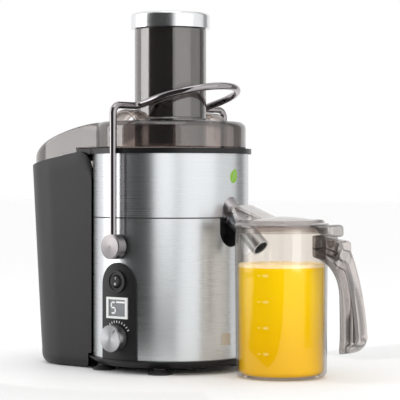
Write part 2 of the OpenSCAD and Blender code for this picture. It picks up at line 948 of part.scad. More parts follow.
module jug_handle() {
    web = 3;
    color([0.6, 0.55, 0.53, 0.7]) at_jug() difference() {
        rotate([90, 0, 0]) linear_extrude(handle_w, center = true) handle_outline();
        for (s = [-1, 1]) translate([0, s * (handle_w / 4 + web / 2), 0]) rotate([90, 0, 0])
            linear_extrude(handle_w / 2 - web + eps, center = true) handle_pockets();
        cylinder(r = jug_r + 0.02, h = 300);
    }
}

module jug_lid() {
    color([0.6, 0.56, 0.54, 0.5]) at_jug() difference() {
        union() {
            // shallow dome
            intersection() {
                translate([0, 0, 176 - 190]) sphere(r = 190);
                translate([0, 0, jug_z + 0.3]) cylinder(r = jug_r + 2, h = 40);
            }
            // skirt inside the wall
            translate([0, 0, jug_z - 6]) tube(jug_r - jug_wall - 0.6, jug_r - jug_wall - 2.6, 8);
            // hood over the spout
            rotate([90, 0, 0]) linear_extrude(33, center = true) polygon([
                [-57.5, 176], [-57.5, 188], [-52, 188.5], [-18, 175.5], [-18, jug_z + 1],
                [-50, jug_z + 1]
            ]);
            // thumb tab over the handle
            translate([jug_r - 4, -handle_w / 2, 0]) rotate([90, 0, 0]) mirror([0, 0, 1])
                linear_extrude(handle_w) polygon([
                    [0, jug_z + 0.3], [6, jug_z + 0.3], [11, 156.6], [29.2, 154.6], [27.8, 164.6],
                    [25, 167.2], [20, 168.2], [0, 171]
                ]);
        }
        // hollow of the dome
        intersection() {
            translate([0, 0, 176 - 190]) sphere(r = 187.6);
            translate([0, 0, jug_z - 20]) cylinder(r = jug_r - jug_wall - 2.6, h = 60);
        }
        // hollow of the hood, open towards the spout and down
        rotate([90, 0, 0]) linear_extrude(28.6, center = true) polygon([
            [-62, 130], [-62, 186], [-52.6, 186.1], [-26, 176], [-17, 165], [-17, 150], [-30, 130]
        ]);
    }
}

// ---------------------------------------------------------------- small parts

module cord_gland() {
    color("#1d1c1e") difference() {
        union() {
            y_bar(6.1, 82, 90.5, 35);
            y_bar(9, 79, 82 + eps, 35);
            y_bar(8, 90.6, 93.5, 35);
            y_bar(6.1, 90, 91, 35);
        }
        y_bar(3.6, 70, 110, 35);
    }
}

module badge_plate() {
    color("#e9eaea") intersection() {
        translate([0, 0, 31.5]) tube(housing_r + 0.6, housing_r, 13);
        rotate(-6) translate([80, -7, 30]) cube([20, 14, 16]);
    }
}

placed() {
    base_pan();
    suction_feet();
    base_screws();
    lower_housing();
    motor_chassis();
    seam_gasket();
    panel_gasket();
    control_panel();
    switch_bezel();
    power_switch();
    power_button();
    display_frame();
    display_screen();
    control_board();
    dial_encoder();
    dial_shaft();
    speed_dial();
    dial_cap();
    lower_bracket();
    upper_bracket();
    bracket_bolts();
    motor_mounts();
    stator();
    field_coils();
    brush_holders();
    carbon_brushes();
    lower_bearing();
    upper_bearing();
    shaft_seal();
    motor_shaft();
    cooling_fan();
    armature();
    commutator();
    drive_coupling();
    filter_basket();
    grating_disc();
    filter_bowl();
    bowl_skin();
    spout_collar();
    spout();
    lid_seal();
    lid();
    pivot_pins();
    pivot_washers();
    locking_arm();
    pivot_caps();
    safety_switch();
    pusher();
    pusher_cap();
    pulp_bin();
    jug();
    jug_handle();
    jug_lid();
    cord_gland();
    badge_plate();
}
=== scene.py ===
"""Looks of a countertop centrifugal juicer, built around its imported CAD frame.

A piece is worked out in millimetres about its own upright axis and placed in the frame in metres.
AXIS is the housing's axis and JUG the jug's, both taken from the frame's boxes.
"""
import json
import math

import bmesh
import bpy
import numpy as np
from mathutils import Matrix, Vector


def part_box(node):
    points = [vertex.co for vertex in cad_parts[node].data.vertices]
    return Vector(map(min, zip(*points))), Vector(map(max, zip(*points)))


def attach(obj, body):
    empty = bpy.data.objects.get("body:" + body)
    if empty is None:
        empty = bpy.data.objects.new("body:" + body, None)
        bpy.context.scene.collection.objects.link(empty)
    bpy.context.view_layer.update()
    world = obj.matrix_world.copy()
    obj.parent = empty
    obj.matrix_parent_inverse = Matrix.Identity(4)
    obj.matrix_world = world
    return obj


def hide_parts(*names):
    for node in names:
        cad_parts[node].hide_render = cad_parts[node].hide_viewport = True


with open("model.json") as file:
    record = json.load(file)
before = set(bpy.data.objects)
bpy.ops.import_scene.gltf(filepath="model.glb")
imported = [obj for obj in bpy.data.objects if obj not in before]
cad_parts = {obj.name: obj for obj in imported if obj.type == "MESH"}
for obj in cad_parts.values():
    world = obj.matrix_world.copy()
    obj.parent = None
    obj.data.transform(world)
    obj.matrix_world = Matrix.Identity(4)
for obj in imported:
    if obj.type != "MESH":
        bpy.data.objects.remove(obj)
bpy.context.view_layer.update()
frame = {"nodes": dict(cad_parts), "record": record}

MM = 0.001

# The jug handle's long outer arc, inner arch and inner bar, in mm from the jug's axis.
OUTER_ARC_X, OUTER_ARC_Z, OUTER_ARC_R = -163.8, 33.7, 272.8
ARCH_X, ARCH_Z, ARCH_R = 42.8, 92, 40.5
BAR_DEPTH = 9.6


def middle(node, along=0):
    """Middle of a node's box along one axis."""
    low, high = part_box(node)
    return (low[along] + high[along]) / 2


AXIS = middle("lower_housing")
JUG = middle("jug")
HOUSING_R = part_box("lower_housing")[1].x - AXIS


# ------------ shader helper

def operator(operation, swapped=False):
    """An operator of Value: one Math node on it and another number, the other first if swapped."""
    def apply(self, other):
        return self.math(operation, *((other, self) if swapped else (self, other)))
    return apply


class Value:
    """A number in a shader. Arithmetic on it adds Math nodes to its tree."""

    def __init__(self, finish, socket):
        self.finish = finish
        self.socket = socket

    def math(self, operation, *values):
        return self.finish.node("ShaderNodeMath", {"operation": operation}, dict(enumerate(values)))

    __add__, __radd__ = operator("ADD"), operator("ADD", True)
    __sub__, __rsub__ = operator("SUBTRACT"), operator("SUBTRACT", True)
    __mul__, __rmul__ = operator("MULTIPLY"), operator("MULTIPLY", True)
    __pow__ = operator("POWER")
    at_least = operator("MAXIMUM")

    def abs(self):
        return self.math("ABSOLUTE", self)

    def sin(self):
        return self.math("SINE", self)


class Finish:
    """A material under construction: its tree, its shader and the pieces' own coordinates."""

    def __init__(self, name, colour, roughness, **constants):
        self.material = bpy.data.materials.new(name)
        self.material.use_nodes = True
        self.tree = self.material.node_tree
        self.shader = self.tree.nodes["Principled BSDF"]
        self.set("Base Color", (*colour, 1))
        self.set("Roughness", roughness)
        for socket, value in constants.items():
            self.set(socket.replace("_", " "), value)

    def set(self, socket, value):
        """Sets a constant on one of the shader's sockets, or links a value to it."""
        self.put(self.shader.inputs[socket], value)

    def put(self, socket, value):
        if isinstance(value, Value):
            self.tree.links.new(value.socket, socket)
        else:
            socket.default_value = value

    def node(self, kind, settings=None, values=None, output=0):
        """Adds any node: its settings first, then the values or links of its sockets."""
        made = self.tree.nodes.new(kind)
        for key, value in (settings or {}).items():
            setattr(made, key, value)
        for key, value in (values or {}).items():
            self.put(made.inputs[key], value)
        return Value(self, made.outputs[output])

    def place(self, centre=(0, 0, 0), scale=(1, 1, 1)):
        """Object coordinates centred on a point, then scaled."""
        raw = self.node("ShaderNodeTexCoord", output=3)
        moved = self.node("ShaderNodeVectorMath", {"operation": "SUBTRACT"}, {0: raw, 1: centre})
        return self.node("ShaderNodeMapping", None, {"Vector": moved, "Scale": scale})

    def noise(self, at, scale=1.0, detail=3.0, roughness=0.55):
        return self.node("ShaderNodeTexNoise", None, {
            "Vector": at, "Scale": scale, "Detail": detail, "Roughness": roughness,
        })

    def cells(self, at, scale, feature="F1"):
        return self.node(
            "ShaderNodeTexVoronoi", {"feature": feature}, {"Vector": at, "Scale": scale}
        )

    def parts(self, at):
        """The three numbers of a vector."""
        split = self.tree.nodes.new("ShaderNodeSeparateXYZ")
        self.put(split.inputs[0], at)
        return [Value(self, split.outputs[i]) for i in range(3)]

    def ramp(self, value, low, high):
        """0 below low, 1 above high, smooth between."""
        return self.node(
            "ShaderNodeMapRange", {"interpolation_type": "SMOOTHSTEP"},
            {"Value": value, "From Min": low, "From Max": high},
        )

    def mix(self, factor, first, second):
        """Colour between two colours."""
        made = self.tree.nodes.new("ShaderNodeMix")
        made.data_type = "RGBA"
        for key, value in (("Factor_Float", factor), ("A_Color", first), ("B_Color", second)):
            socket = next(s for s in made.inputs if s.identifier == key)
            if isinstance(value, tuple):
                value = (*value[:3], 1)
            self.put(socket, value)
        return Value(self, next(s for s in made.outputs if s.identifier == "Result_Color"))

    def bump(self, height, distance, strength=1.0):
        made = self.node("ShaderNodeBump", None, {
            "Height": height, "Distance": distance, "Strength": strength,
        })
        self.set("Normal", made)

    def facing(self, blend=0.45):
        """0 where the surface is seen square on, 1 where it is seen edge on."""
        return self.node("ShaderNodeLayerWeight", None, {"Blend": blend}, output=1)

    def see_through(self, share, tint, gloss, mirror):
        """The shader covers a share of the surface and the rest shows what is behind it, tinted.

        A clear reflection lies over both: gloss of it face on, all of it edge on.
        """
        clear = self.node("ShaderNodeBsdfTransparent", None, {"Color": (*tint, 1)})
        solid = Value(self, self.shader.outputs[0])
        body = self.node("ShaderNodeMixShader", None, {0: share, 1: clear, 2: solid})
        shine = self.node("ShaderNodeBsdfGlossy", None, {"Roughness": mirror})
        over = gloss + (1 - gloss) * self.facing(0.5) ** 5
        mixed = self.node("ShaderNodeMixShader", None, {0: over, 1: body, 2: shine})
        self.put(self.tree.nodes["Material Output"].inputs["Surface"], mixed)


def shade(colour, by):
    """A colour made lighter or darker by a factor."""
    return tuple(min(1.0, c * by) for c in colour)


# ------------ materials

def brushed_steel(name, colour, roughness):
    """Sheet steel with fine level brush lines round the housing, a few longer ones and smudges."""
    f = Finish(name, colour, roughness, Metallic=1.0)
    fine = f.noise(f.place((AXIS, 0, 0), (16, 16, 5200)), 1.0, 4.0, 0.6)
    long = f.noise(f.place((AXIS, 0, 0), (5, 5, 1500)), 1.0, 3.0, 0.6)
    smudge = f.noise(f.place(), 14.0, 3.0, 0.6)
    lines = fine * 0.6 + long * 0.4
    f.set("Base Color", f.mix(lines, shade(colour, 0.84), shade(colour, 1.14)))
    f.set("Roughness", roughness - 0.05 + 0.08 * lines + 0.04 * smudge)
    f.bump(lines, 0.00001, 0.5)
    return f.material


RING_DENSITY = 9000


def spun_metal(name, centre, colour=(0.72, 0.72, 0.73), lobes=2, phase=0.6):
    """Turned face: fine rings about an axis along Y, with highlights painted into its colour, fan-shaped
    as the rings would throw them.
    """
    f = Finish(name, colour, 0.28, Metallic=1.0)
    x, y, z = f.parts(f.place(centre))
    radius = (x * x + z * z) ** 0.5
    rings = f.noise(f.node("ShaderNodeCombineXYZ", None, {0: radius * RING_DENSITY}), 1.0, 2.0)
    angle = f.node("ShaderNodeMath", {"operation": "ARCTAN2"}, {0: z, 1: x})
    # Painted highlight: the colour turns lighter and darker in fan shapes round the axis, faded out near
    # the middle.
    painted_highlight_fans = 0.5 + 0.5 * (angle * lobes + phase).sin()
    soft = f.ramp(radius, 0.0004, 0.003)
    f.set("Base Color", f.mix(painted_highlight_fans * soft, shade(colour, 0.62), shade(colour, 1.25)))
    f.set("Roughness", 0.22 + 0.14 * rings)
    f.bump(rings, 0.00002, 0.6)
    return f.material


def bright_metal(name, colour, roughness, grain=0.05):
    """Turned or plated metal: near mirror, with faint wear in its gloss."""
    f = Finish(name, colour, roughness, Metallic=1.0)
    wear = f.noise(f.place(), 160.0, 4.0, 0.6)
    f.set("Base Color", f.mix(wear, shade(colour, 0.92), shade(colour, 1.06)))
    f.set("Roughness", roughness - grain / 2 + grain * wear)
    f.bump(f.noise(f.place(), 900.0, 2.0), 0.00001, 0.3)
    return f.material


def moulded(name, colour, roughness, grain=1500.0, depth=0.00004, wear=0.10, shine=0.35):
    """Moulded plastic: a fine spark-eroded grain, slow changes of gloss and faintly worn colour."""
    f = Finish(name, colour, roughness, Specular_IOR_Level=shine)
    pits = f.cells(f.place(), grain)
    cloud = f.noise(f.place(), 26.0, 4.0, 0.6)
    f.set("Base Color", f.mix(cloud, shade(colour, 1 - wear), shade(colour, 1 + wear)))
    f.set("Roughness", roughness - 0.04 + 0.09 * cloud + 0.03 * pits)
    f.bump(pits, depth, 0.5)
    return f.material


def rubber(name, colour=(0.016, 0.016, 0.017)):
    """Dull rubber with a dusty bloom."""
    f = Finish(name, colour, 0.62)
    bloom = f.noise(f.place(), 90.0, 5.0, 0.65)
    f.set("Base Color", f.mix(bloom, colour, shade(colour, 2.0)))
    f.set("Roughness", 0.5 + 0.25 * bloom)
    f.bump(f.noise(f.place(), 1400.0, 3.0), 0.00005, 0.5)
    return f.material


def smoked(name, colour, tint, clear, edge, gloss=0.05, mirror=0.04, closing=1.7):
    """Tinted clear plastic: sees through face on, and darkens where the wall is seen edge on."""
    f = Finish(name, colour, 0.3)
    flow = f.noise(f.place(scale=(1, 1, 0.35)), 34.0, 3.0, 0.5)
    share = clear + (edge - clear) * f.facing() ** closing + 0.03 * flow
    f.see_through(share, tint, gloss, mirror)
    f.set("Base Color", f.mix(flow, shade(colour, 0.9), shade(colour, 1.12)))
    f.set("Roughness", 0.25 + 0.15 * flow)
    f.bump(f.noise(f.place(), 22.0, 2.0), 0.0002, 0.10)
    return f.material


def handle_look(name):
    """Smoked handle, clearer along its outer flange and also painted paler there as if lit, with dark
    lines of painted shade beside the web, where the pockets' edges are shaded.

    Distances from the centres of the outer arc and of the arch part flange, web and bar.
    """
    flange_from, flange_full, web_end, bar_end = 0.2690, 0.2700, 0.2683, 0.0508
    dark, pale = (0.035, 0.028, 0.025), (0.50, 0.45, 0.44)
    f = Finish(name, dark, 0.3)
    x, y, z = f.parts(f.place((JUG + OUTER_ARC_X * MM, 0, OUTER_ARC_Z * MM)))
    out = (x * x + z * z) ** 0.5
    flange = f.ramp(out, flange_from, flange_full)
    x, y, z = f.parts(f.place((JUG + ARCH_X * MM, 0, ARCH_Z * MM)))
    bar_out = (x * x + z.at_least(0.0) ** 2) ** 0.5
    past_web = f.ramp((out - web_end).abs(), 0.0003, 0.0011)
    # Painted shade: dark lines where the web meets the flange and the inner bar, the shaded edges of the
    # pockets.
    line = 2 - past_web - f.ramp((bar_out - bar_end).abs(), 0.0004, 0.0013)
    share = 0.06 + 0.93 * f.facing() ** 1.1 * (1 - 0.75 * flange) + 0.6 * line
    f.see_through(share, (0.87, 0.83, 0.81), 0.13, 0.03)
    # Painted light: the outer flange's colour is paler, as if lit.
    f.set("Base Color", f.mix(flange, dark, pale))
    f.set("Roughness", 0.25 + 0.1 * f.noise(f.place(), 34.0))
    return f.material


def laminated(name, colour, pitch=0.0007):
    """Stacked iron sheets, seen as fine level lines."""
    f = Finish(name, colour, 0.42, Metallic=0.9)
    x, y, z = f.parts(f.place())
    lines = 0.5 + 0.5 * (z * (2 * math.pi / pitch)).sin()
    stain = f.noise(f.place(), 60.0, 4.0)
    f.set("Base Color", f.mix(lines * 0.7 + stain * 0.3, shade(colour, 0.55), shade(colour, 1.1)))
    f.set("Roughness", 0.34 + 0.2 * stain)
    f.bump(lines, 0.0001, 0.6)
    return f.material


def wound(name, colour, wire=0.0009):
    """Varnished copper wire laid side by side, with painted shade in the grooves between the turns."""
    f = Finish(name, colour, 0.3, Metallic=1.0, Coat_Weight=0.5)
    x, y, z = f.parts(f.place((AXIS, 0, 0)))
    turns = ((z + y) * (2 * math.pi / wire)).sin().abs()
    # Painted shade: the colour darkens towards the grooves between turns, where shade falls.
    f.set("Base Color", f.mix(turns, shade(colour, 0.35), colour))
    f.set("Roughness", 0.22 + 0.2 * turns)
    f.bump(turns, 0.0003, 0.8)
    return f.material


def mesh_steel(name, colour=(0.62, 0.63, 0.64), pitch=0.0016):
    """Etched filter mesh: rows of small holes round the basket's wall, coloured near black as painted
    shade for the dark seen through them.
    """
    f = Finish(name, colour, 0.3, Metallic=1.0)
    holes = f.cells(f.place((AXIS, 0, 0)), 1 / pitch)
    open_part = 1 - f.ramp(holes, 0.22, 0.34)
    # Painted shade: the holes are coloured near black, standing for the shade seen through them.
    f.set("Base Color", f.mix(open_part, colour, (0.02, 0.02, 0.02)))
    f.set("Roughness", 0.25 + 0.4 * open_part)
    f.bump(1 - open_part, 0.0001, 0.7)
    return f.material


def circuit(name):
    """Green board with lighter copper tracks under the lacquer."""
    f = Finish(name, (0.012, 0.12, 0.04), 0.35, Coat_Weight=0.4)
    tracks = f.cells(f.place(), 260.0, "DISTANCE_TO_EDGE")
    f.set("Base Color", f.mix(f.ramp(tracks, 0.04, 0.07), (0.05, 0.28, 0.10), (0.01, 0.11, 0.035)))
    f.set("Roughness", 0.3 + 0.2 * f.noise(f.place(), 300.0))
    f.bump(tracks, 0.0001, 0.4)
    return f.material


def display_glass(name):
    """Grey display with a fine mesh of dots under a glossy window."""
    f = Finish(name, (0.11, 0.115, 0.125), 0.18, Coat_Weight=0.7, Coat_Roughness=0.05)
    x, y, z = f.parts(f.place())
    dot_pitch = 0.0009
    mesh = (x * (2 * math.pi / dot_pitch)).sin() * (z * (2 * math.pi / dot_pitch)).sin()
    glow = f.noise(f.place(), 60.0, 2.0)
    lit = 0.5 + 0.2 * mesh + 0.3 * (glow - 0.5)
    f.set("Base Color", f.mix(lit, (0.07, 0.075, 0.085), (0.16, 0.165, 0.18)))
    f.set("Roughness", 0.14 + 0.08 * glow)
    return f.material


def juice_look(name):
    """Fresh orange juice: bright, a little deeper low down, with fine pulp in it.

    It is also given a faint glow in its own colour: painted light, standing in for the light that goes
    about inside the juice.
    """
    f = Finish(name, (0.95, 0.55, 0.001), 0.35, Specular_IOR_Level=0.0, Emission_Strength=0.14)
    x, y, z = f.parts(f.place((JUG, 0, 0)))
    pulp = f.noise(f.place(), 420.0, 5.0, 0.7)
    slow = f.noise(f.place(scale=(1, 1, 0.5)), 24.0, 3.0)
    height = f.ramp(z, 0.0, 0.12)
    deep = f.mix(pulp * 0.5 + slow * 0.5, (0.72, 0.36, 0.0), (0.88, 0.52, 0.001))
    flesh = f.mix(height * 0.6 + 0.2, deep, (1.0, 0.70, 0.001))
    f.set("Base Color", flesh)
    # Painted light: the juice glows faintly in its own colour, though it is no lamp.
    f.set("Emission Color", flesh)
    f.set("Roughness", 0.3 + 0.15 * pulp)
    f.bump(pulp, 0.0001, 0.3)
    return f.material


def froth_look(name):
    """Pale froth of fine bubbles, oranger between them, glowing faintly in its own colour as painted
    light.
    """
    f = Finish(name, (1.0, 0.80, 0.40), 0.4, Specular_IOR_Level=0.3, Emission_Strength=0.25)
    bubbles = f.cells(f.place(), 420.0)
    patch = f.noise(f.place(), 42.0, 4.0)
    foam = f.mix(patch * 0.7 + bubbles * 0.4, (1.0, 0.66, 0.16), (1.0, 0.93, 0.72))
    f.set("Base Color", foam)
    # Painted light: the froth glows faintly in its own colour, though it is no lamp.
    f.set("Emission Color", foam)
    f.set("Roughness", 0.25 + 0.4 * bubbles)
    f.bump(bubbles, 0.0008, 0.6)
    return f.material


def printed(name, colour, roughness=0.5):
    """Pad-printed ink with a slightly broken edge of colour."""
    f = Finish(name, colour, roughness)
    ink = f.noise(f.place(), 900.0, 3.0)
    f.set("Base Color", f.mix(ink, shade(colour, 0.86), colour))
    f.set("Roughness", roughness - 0.1 + 0.2 * ink)
    f.bump(ink, 0.00001, 0.3)
    return f.material


DIAL = (middle("speed_dial"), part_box("dial_cap")[0].y, middle("speed_dial", 2))
CAP = (AXIS, 0, middle("pivot_caps", 2))
FINISHES = {
    "steel_skin": brushed_steel("brushed steel skin", (0.61, 0.63, 0.64), 0.27),
    "dark_plastic": moulded("dark moulded plastic", (0.012, 0.0115, 0.0125), 0.40, shine=0.25),
    "bin_plastic": moulded("matt bin plastic", (0.017, 0.016, 0.017), 0.42, 1100.0, shine=0.3),
    "black_plastic": moulded("black moulded plastic", (0.008, 0.008, 0.009), 0.32),
    "inner_plastic": moulded("inner moulded plastic", (0.03, 0.03, 0.032), 0.5),
    "black_rubber": rubber("black rubber"),
    "smoked_lid": smoked(
        "smoked lid plastic", (0.030, 0.024, 0.022), (0.84, 0.79, 0.77), 0.10, 0.95, 0.10
    ),
    "smoked_pusher": smoked(
        "smoked pusher plastic", (0.016, 0.013, 0.012), (0.45, 0.40, 0.38), 0.50, 0.97, 0.06
    ),
    "clear_jug": smoked(
        "clear jug plastic", (0.05, 0.036, 0.028), (0.97, 0.95, 0.925), 0.0, 0.95, 0.024, 0.02, 3.0
    ),
    "smoked_handle": handle_look("smoked handle plastic"),
    "chrome_rod": bright_metal("chromed rod", (0.35, 0.325, 0.335), 0.06),
    "cap_metal": spun_metal("turned cap metal", CAP, (0.30, 0.28, 0.285), 1, 0.4),
    "dial_metal": spun_metal("spun dial metal", DIAL, (0.46, 0.46, 0.47), 2, 1.9),
    "spout_grey": bright_metal("grey spout metal", (0.74, 0.77, 0.81), 0.36, 0.12),
    "plain_steel": bright_metal("plain steel", (0.56, 0.56, 0.57), 0.22, 0.1),
    "mesh_steel": mesh_steel("filter mesh steel"),
    "laminated_iron": laminated("laminated iron", (0.30, 0.31, 0.32)),
    "copper": wound("wound copper wire", (0.72, 0.30, 0.12)),
    "brass": bright_metal("brass", (0.60, 0.42, 0.16), 0.3, 0.12),
    "carbon": rubber("carbon", (0.02, 0.02, 0.021)),
    "cast_alloy": bright_metal("cast alloy", (0.42, 0.43, 0.44), 0.45, 0.15),
    "board_green": circuit("circuit board"),
    "white_plastic": moulded("white moulded plastic", (0.72, 0.73, 0.72), 0.35),
    "display_glass": display_glass("display glass"),
    "badge_white": printed("badge white", (0.75, 0.75, 0.74), 0.3),
    "bright_cap": bright_metal("bright cap metal", (0.80, 0.81, 0.82), 0.24, 0.08),
    "switch_blue": moulded("blue switch plastic", (0.015, 0.035, 0.09), 0.4),
}
NODE_FINISH = {"pusher_cap": "bright_cap"}


def dress_frame():
    """Gives every CAD node its own finish, or that of its slot in the record."""
    for part in frame["record"]["subparts"]:
        node = frame["nodes"][part["node"]]
        for place in node.material_slots:
            place.material = FINISHES[NODE_FINISH.get(part["node"], part["material_slot"])]


dress_frame()

# ------------ surfaces

def join(*values):
    """Points from their coordinates, each an array or a number."""
    return np.stack(np.broadcast_arrays(*values), -1)


def turn(degrees_from, degrees_to, count):
    """Even steps of angle, in radians."""
    return np.radians(np.linspace(degrees_from, degrees_to, count))


def arc(cx, cz, radius, degrees_from, degrees_to, count):
    """Points (r, z) on an arc, both ends included."""
    a = turn(degrees_from, degrees_to, count)
    return join(cx + radius * np.cos(a), cz + radius * np.sin(a))


def smooth(value, low, high):
    """0 below low, 1 above high, with level ends between."""
    t = np.clip((value - low) / (high - low), 0, 1)
    return t * t * (3 - 2 * t)


def shift_x(dx):
    """Moves points along X, from the housing's or the jug's own axis to the frame's."""
    return lambda points: points + np.array([dx, 0, 0])


ON_HOUSING, ON_JUG = shift_x(AXIS / MM), shift_x(JUG / MM)


def linked(name, data):
    """A new object in the scene."""
    made = bpy.data.objects.new(name, data)
    bpy.context.collection.objects.link(made)
    return made


class Shell:
    """Gathers sheets of points, in millimetres, into one mesh."""

    def __init__(self):
        self.points = []
        self.faces = []
        self.count = 0

    def sheet(self, grid, wrap=False, closed=False):
        """Quads over a grid of points. wrap joins the last column to the first, closed the last row."""
        rows, columns = grid.shape[:2]
        index = np.arange(rows * columns).reshape(rows, columns) + self.count
        if wrap:
            index = np.concatenate([index, index[:, :1]], 1)
        if closed:
            index = np.concatenate([index, index[:1]], 0)
        corners = [index[:-1, :-1], index[:-1, 1:], index[1:, 1:], index[1:, :-1]]
        self.faces += np.stack(corners, -1).reshape(-1, 4).tolist()
        self.points.append(grid.reshape(-1, 3))
        self.count += rows * columns
        return self

    def tube(self, grid):
        """A sheet wrapped round its columns, its first and last rows closed with flat ends."""
        first = self.count
        rows, columns = grid.shape[:2]
        self.sheet(grid, wrap=True)
        self.faces.append([first + i for i in range(columns)])
        self.faces.append([first + (rows - 1) * columns + i for i in reversed(range(columns))])
        return self

    def prism(self, outline, low, high):
        """A flat outline (x, z) given thickness along Y between low and high."""
        outline = np.asarray(outline, float)
        return self.tube(np.stack([join(outline[:, 0], y, outline[:, 1]) for y in (low, high)]))

    def made(self, name, place, material):
        """The mesh as an object, its points put in place, in metres, by a function."""
        mesh = bpy.data.meshes.new(name)
        mesh.from_pydata(place(np.concatenate(self.points)).tolist(), [], self.faces)
        mesh.materials.append(material)
        return linked(name, mesh)

    def piece(self, name, finish, body, replaces=(), shape=ON_HOUSING, sharp=38):
        """A part of the object, put in place by its shape: on its body, with its finish."""
        made = self.made(name, lambda points: shape(points) * MM, FINISHES[finish])
        mesh = made.data
        tidy(mesh)
        mesh.polygons.foreach_set("use_smooth", np.ones(len(mesh.polygons), bool))
        mesh.set_sharp_from_angle(angle=math.radians(sharp))
        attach(made, body)
        if replaces:
            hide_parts(*replaces)
        return made


def tidy(mesh):
    """Merges doubles and turns the faces outward."""
    work = bmesh.new()
    work.from_mesh(mesh)
    bmesh.ops.remove_doubles(work, verts=work.verts, dist=1e-6)
    bmesh.ops.dissolve_degenerate(work, edges=work.edges, dist=1e-7)
    bmesh.ops.recalc_face_normals(work, faces=work.faces)
    work.to_mesh(mesh)
    work.free()


def revolve(profile, angles, centre_x):
    """A profile of (r, z) turned about the upright axis at centre_x, one column for each angle."""
    r, z = profile[:, :1], profile[:, 1:]
    return join(centre_x + r * np.cos(angles), r * np.sin(angles), z)


def full_turn(count):
    """Even steps of angle once round, the last short of the first."""
    return np.arange(count) * (2 * np.pi / count)


def thicken(made, thickness):
    """Gives an open sheet its wall, inward from its face."""
    wall = made.modifiers.new("wall", "SOLIDIFY")
    wall.thickness = thickness * MM
    wall.offset = -1
    wall.use_even_offset = True
    return made


# ------------ jug, juice and level marks

JUG_R, JUG_TOP, JUG_WALL = 51.0, 164.0, 2.6
SPOUT_GAP, GAP_CENTRE, PRESS_FROM = 12.0, 144, 120
JUICE_TOP, FROTH_R, BUBBLES = 121.0, 47.4, 150


def rim_height(y, facing_spout):
    """Rim of the jug: level, but for a U-shaped gap of the spout's width on the housing's side."""
    inside = np.clip(1 - (y / SPOUT_GAP) ** 2, 0, 1)
    gap = (np.abs(y) < SPOUT_GAP) & facing_spout
    return np.where(gap, GAP_CENTRE - SPOUT_GAP * np.sqrt(inside), JUG_TOP)


def jug():
    """Closed wall of the jug: outside up a slight taper, over the round rim and down the inside.

    Above PRESS_FROM the wall is pressed down to the rim's height at each angle.
    """
    lip = arc(JUG_R - JUG_WALL / 2, JUG_TOP - JUG_WALL / 2, JUG_WALL / 2, 0, 180, 7)
    profile = np.concatenate([
        [[0, 0.6], [36, 0.6], [38, 0]], arc(42, 8, 8, -90, 0, 9),
        join(np.linspace(50, JUG_R, 12), np.linspace(10, 161, 12)), lip,
        join(np.linspace(JUG_R - JUG_WALL, 47.4, 12), np.linspace(161, 12, 12)),
        arc(40.4, 10, 7, 0, -90, 8), [[0, 3]],
    ])
    edge = math.asin(SPOUT_GAP / JUG_R)
    near_edge = [np.pi + side * edge * k for side in (-1, 1) for k in (0.6, 0.9, 0.98, 0.9999, 1.0001)]
    angles = np.unique(np.concatenate([full_turn(128), near_edge]))
    grid = revolve(profile, angles, 0)
    height = rim_height(JUG_R * np.sin(angles), np.cos(angles) < 0)
    above = np.clip(grid[..., 2] - PRESS_FROM, 0, None)
    pressed = above * (height - PRESS_FROM) / (JUG_TOP - PRESS_FROM)
    grid[..., 2] = grid[..., 2] - above + pressed
    shell = Shell().sheet(grid, wrap=True)
    shell.piece("jug_wall", "clear_jug", "jug_unit", ["jug"], ON_JUG)


def juice():
    """Juice body a hair inside the wall, its top edge climbing the wall a little."""
    side = np.linspace(11, JUICE_TOP, 14)
    radius = 47.0 + 0.9 * (side - 11) / 150
    profile = np.concatenate([
        [[0, 3.3]], arc(40.1, 10.2, 6.9, -90, 0, 8), join(radius, side), [[0, JUICE_TOP]],
    ])
    body = Shell().sheet(revolve(profile, full_turn(96), 0), wrap=True)
    made = body.piece("juice_body", "juice", "jug_unit", shape=ON_JUG)
    made.visible_glossy = False


def froth():
    """Froth on the juice: a shallow disc whose top is heaped with round bubbles of several sizes.

    Height is the greatest of many small domes strewn by a seeded draw over a slowly rolling top.
    """
    draw = np.random.default_rng(7)
    angles, rings = full_turn(150), np.linspace(0, FROTH_R, 56)
    r, a = np.meshgrid(rings, angles, indexing="ij")
    x, y = r * np.cos(a), r * np.sin(a)
    z = JUICE_TOP + 3.0 + 0.5 * np.sin(x * 0.16 + 1) * np.cos(y * 0.13) + 0.9 * smooth(r, 40, FROTH_R)
    for _ in range(BUBBLES):
        size = draw.uniform(1.2, 3.6)
        out, way = 45.0 * math.sqrt(draw.uniform()), draw.uniform(0, 2 * np.pi)
        near = ((x - out * np.cos(way)) ** 2 + (y - out * np.sin(way)) ** 2) / size ** 2
        z = np.maximum(z, JUICE_TOP + 2.9 + 0.55 * size * np.sqrt(np.clip(1 - near, 0, 1)))
    foot = join(x[-1:], y[-1:], JUICE_TOP + 0.1)
    base = join(x[-1:] * 0, y[-1:] * 0, JUICE_TOP + 0.1)
    shell = Shell().sheet(np.concatenate([join(x, y, z), foot, base]), wrap=True)
    made = shell.piece("juice_froth", "froth", "jug_unit", shape=ON_JUG, sharp=80)
    made.visible_glossy = False


def onto_cylinder(centre_x, radius, middle_angle):
    """Bends a flat sheet drawn in X and Z, facing -Y, round an upright cylinder."""
    def bend(points):
        a = middle_angle + points[:, 0] / radius
        out = radius - points[:, 1]
        return join(centre_x + out * np.cos(a), out * np.sin(a), points[:, 2])
    return bend


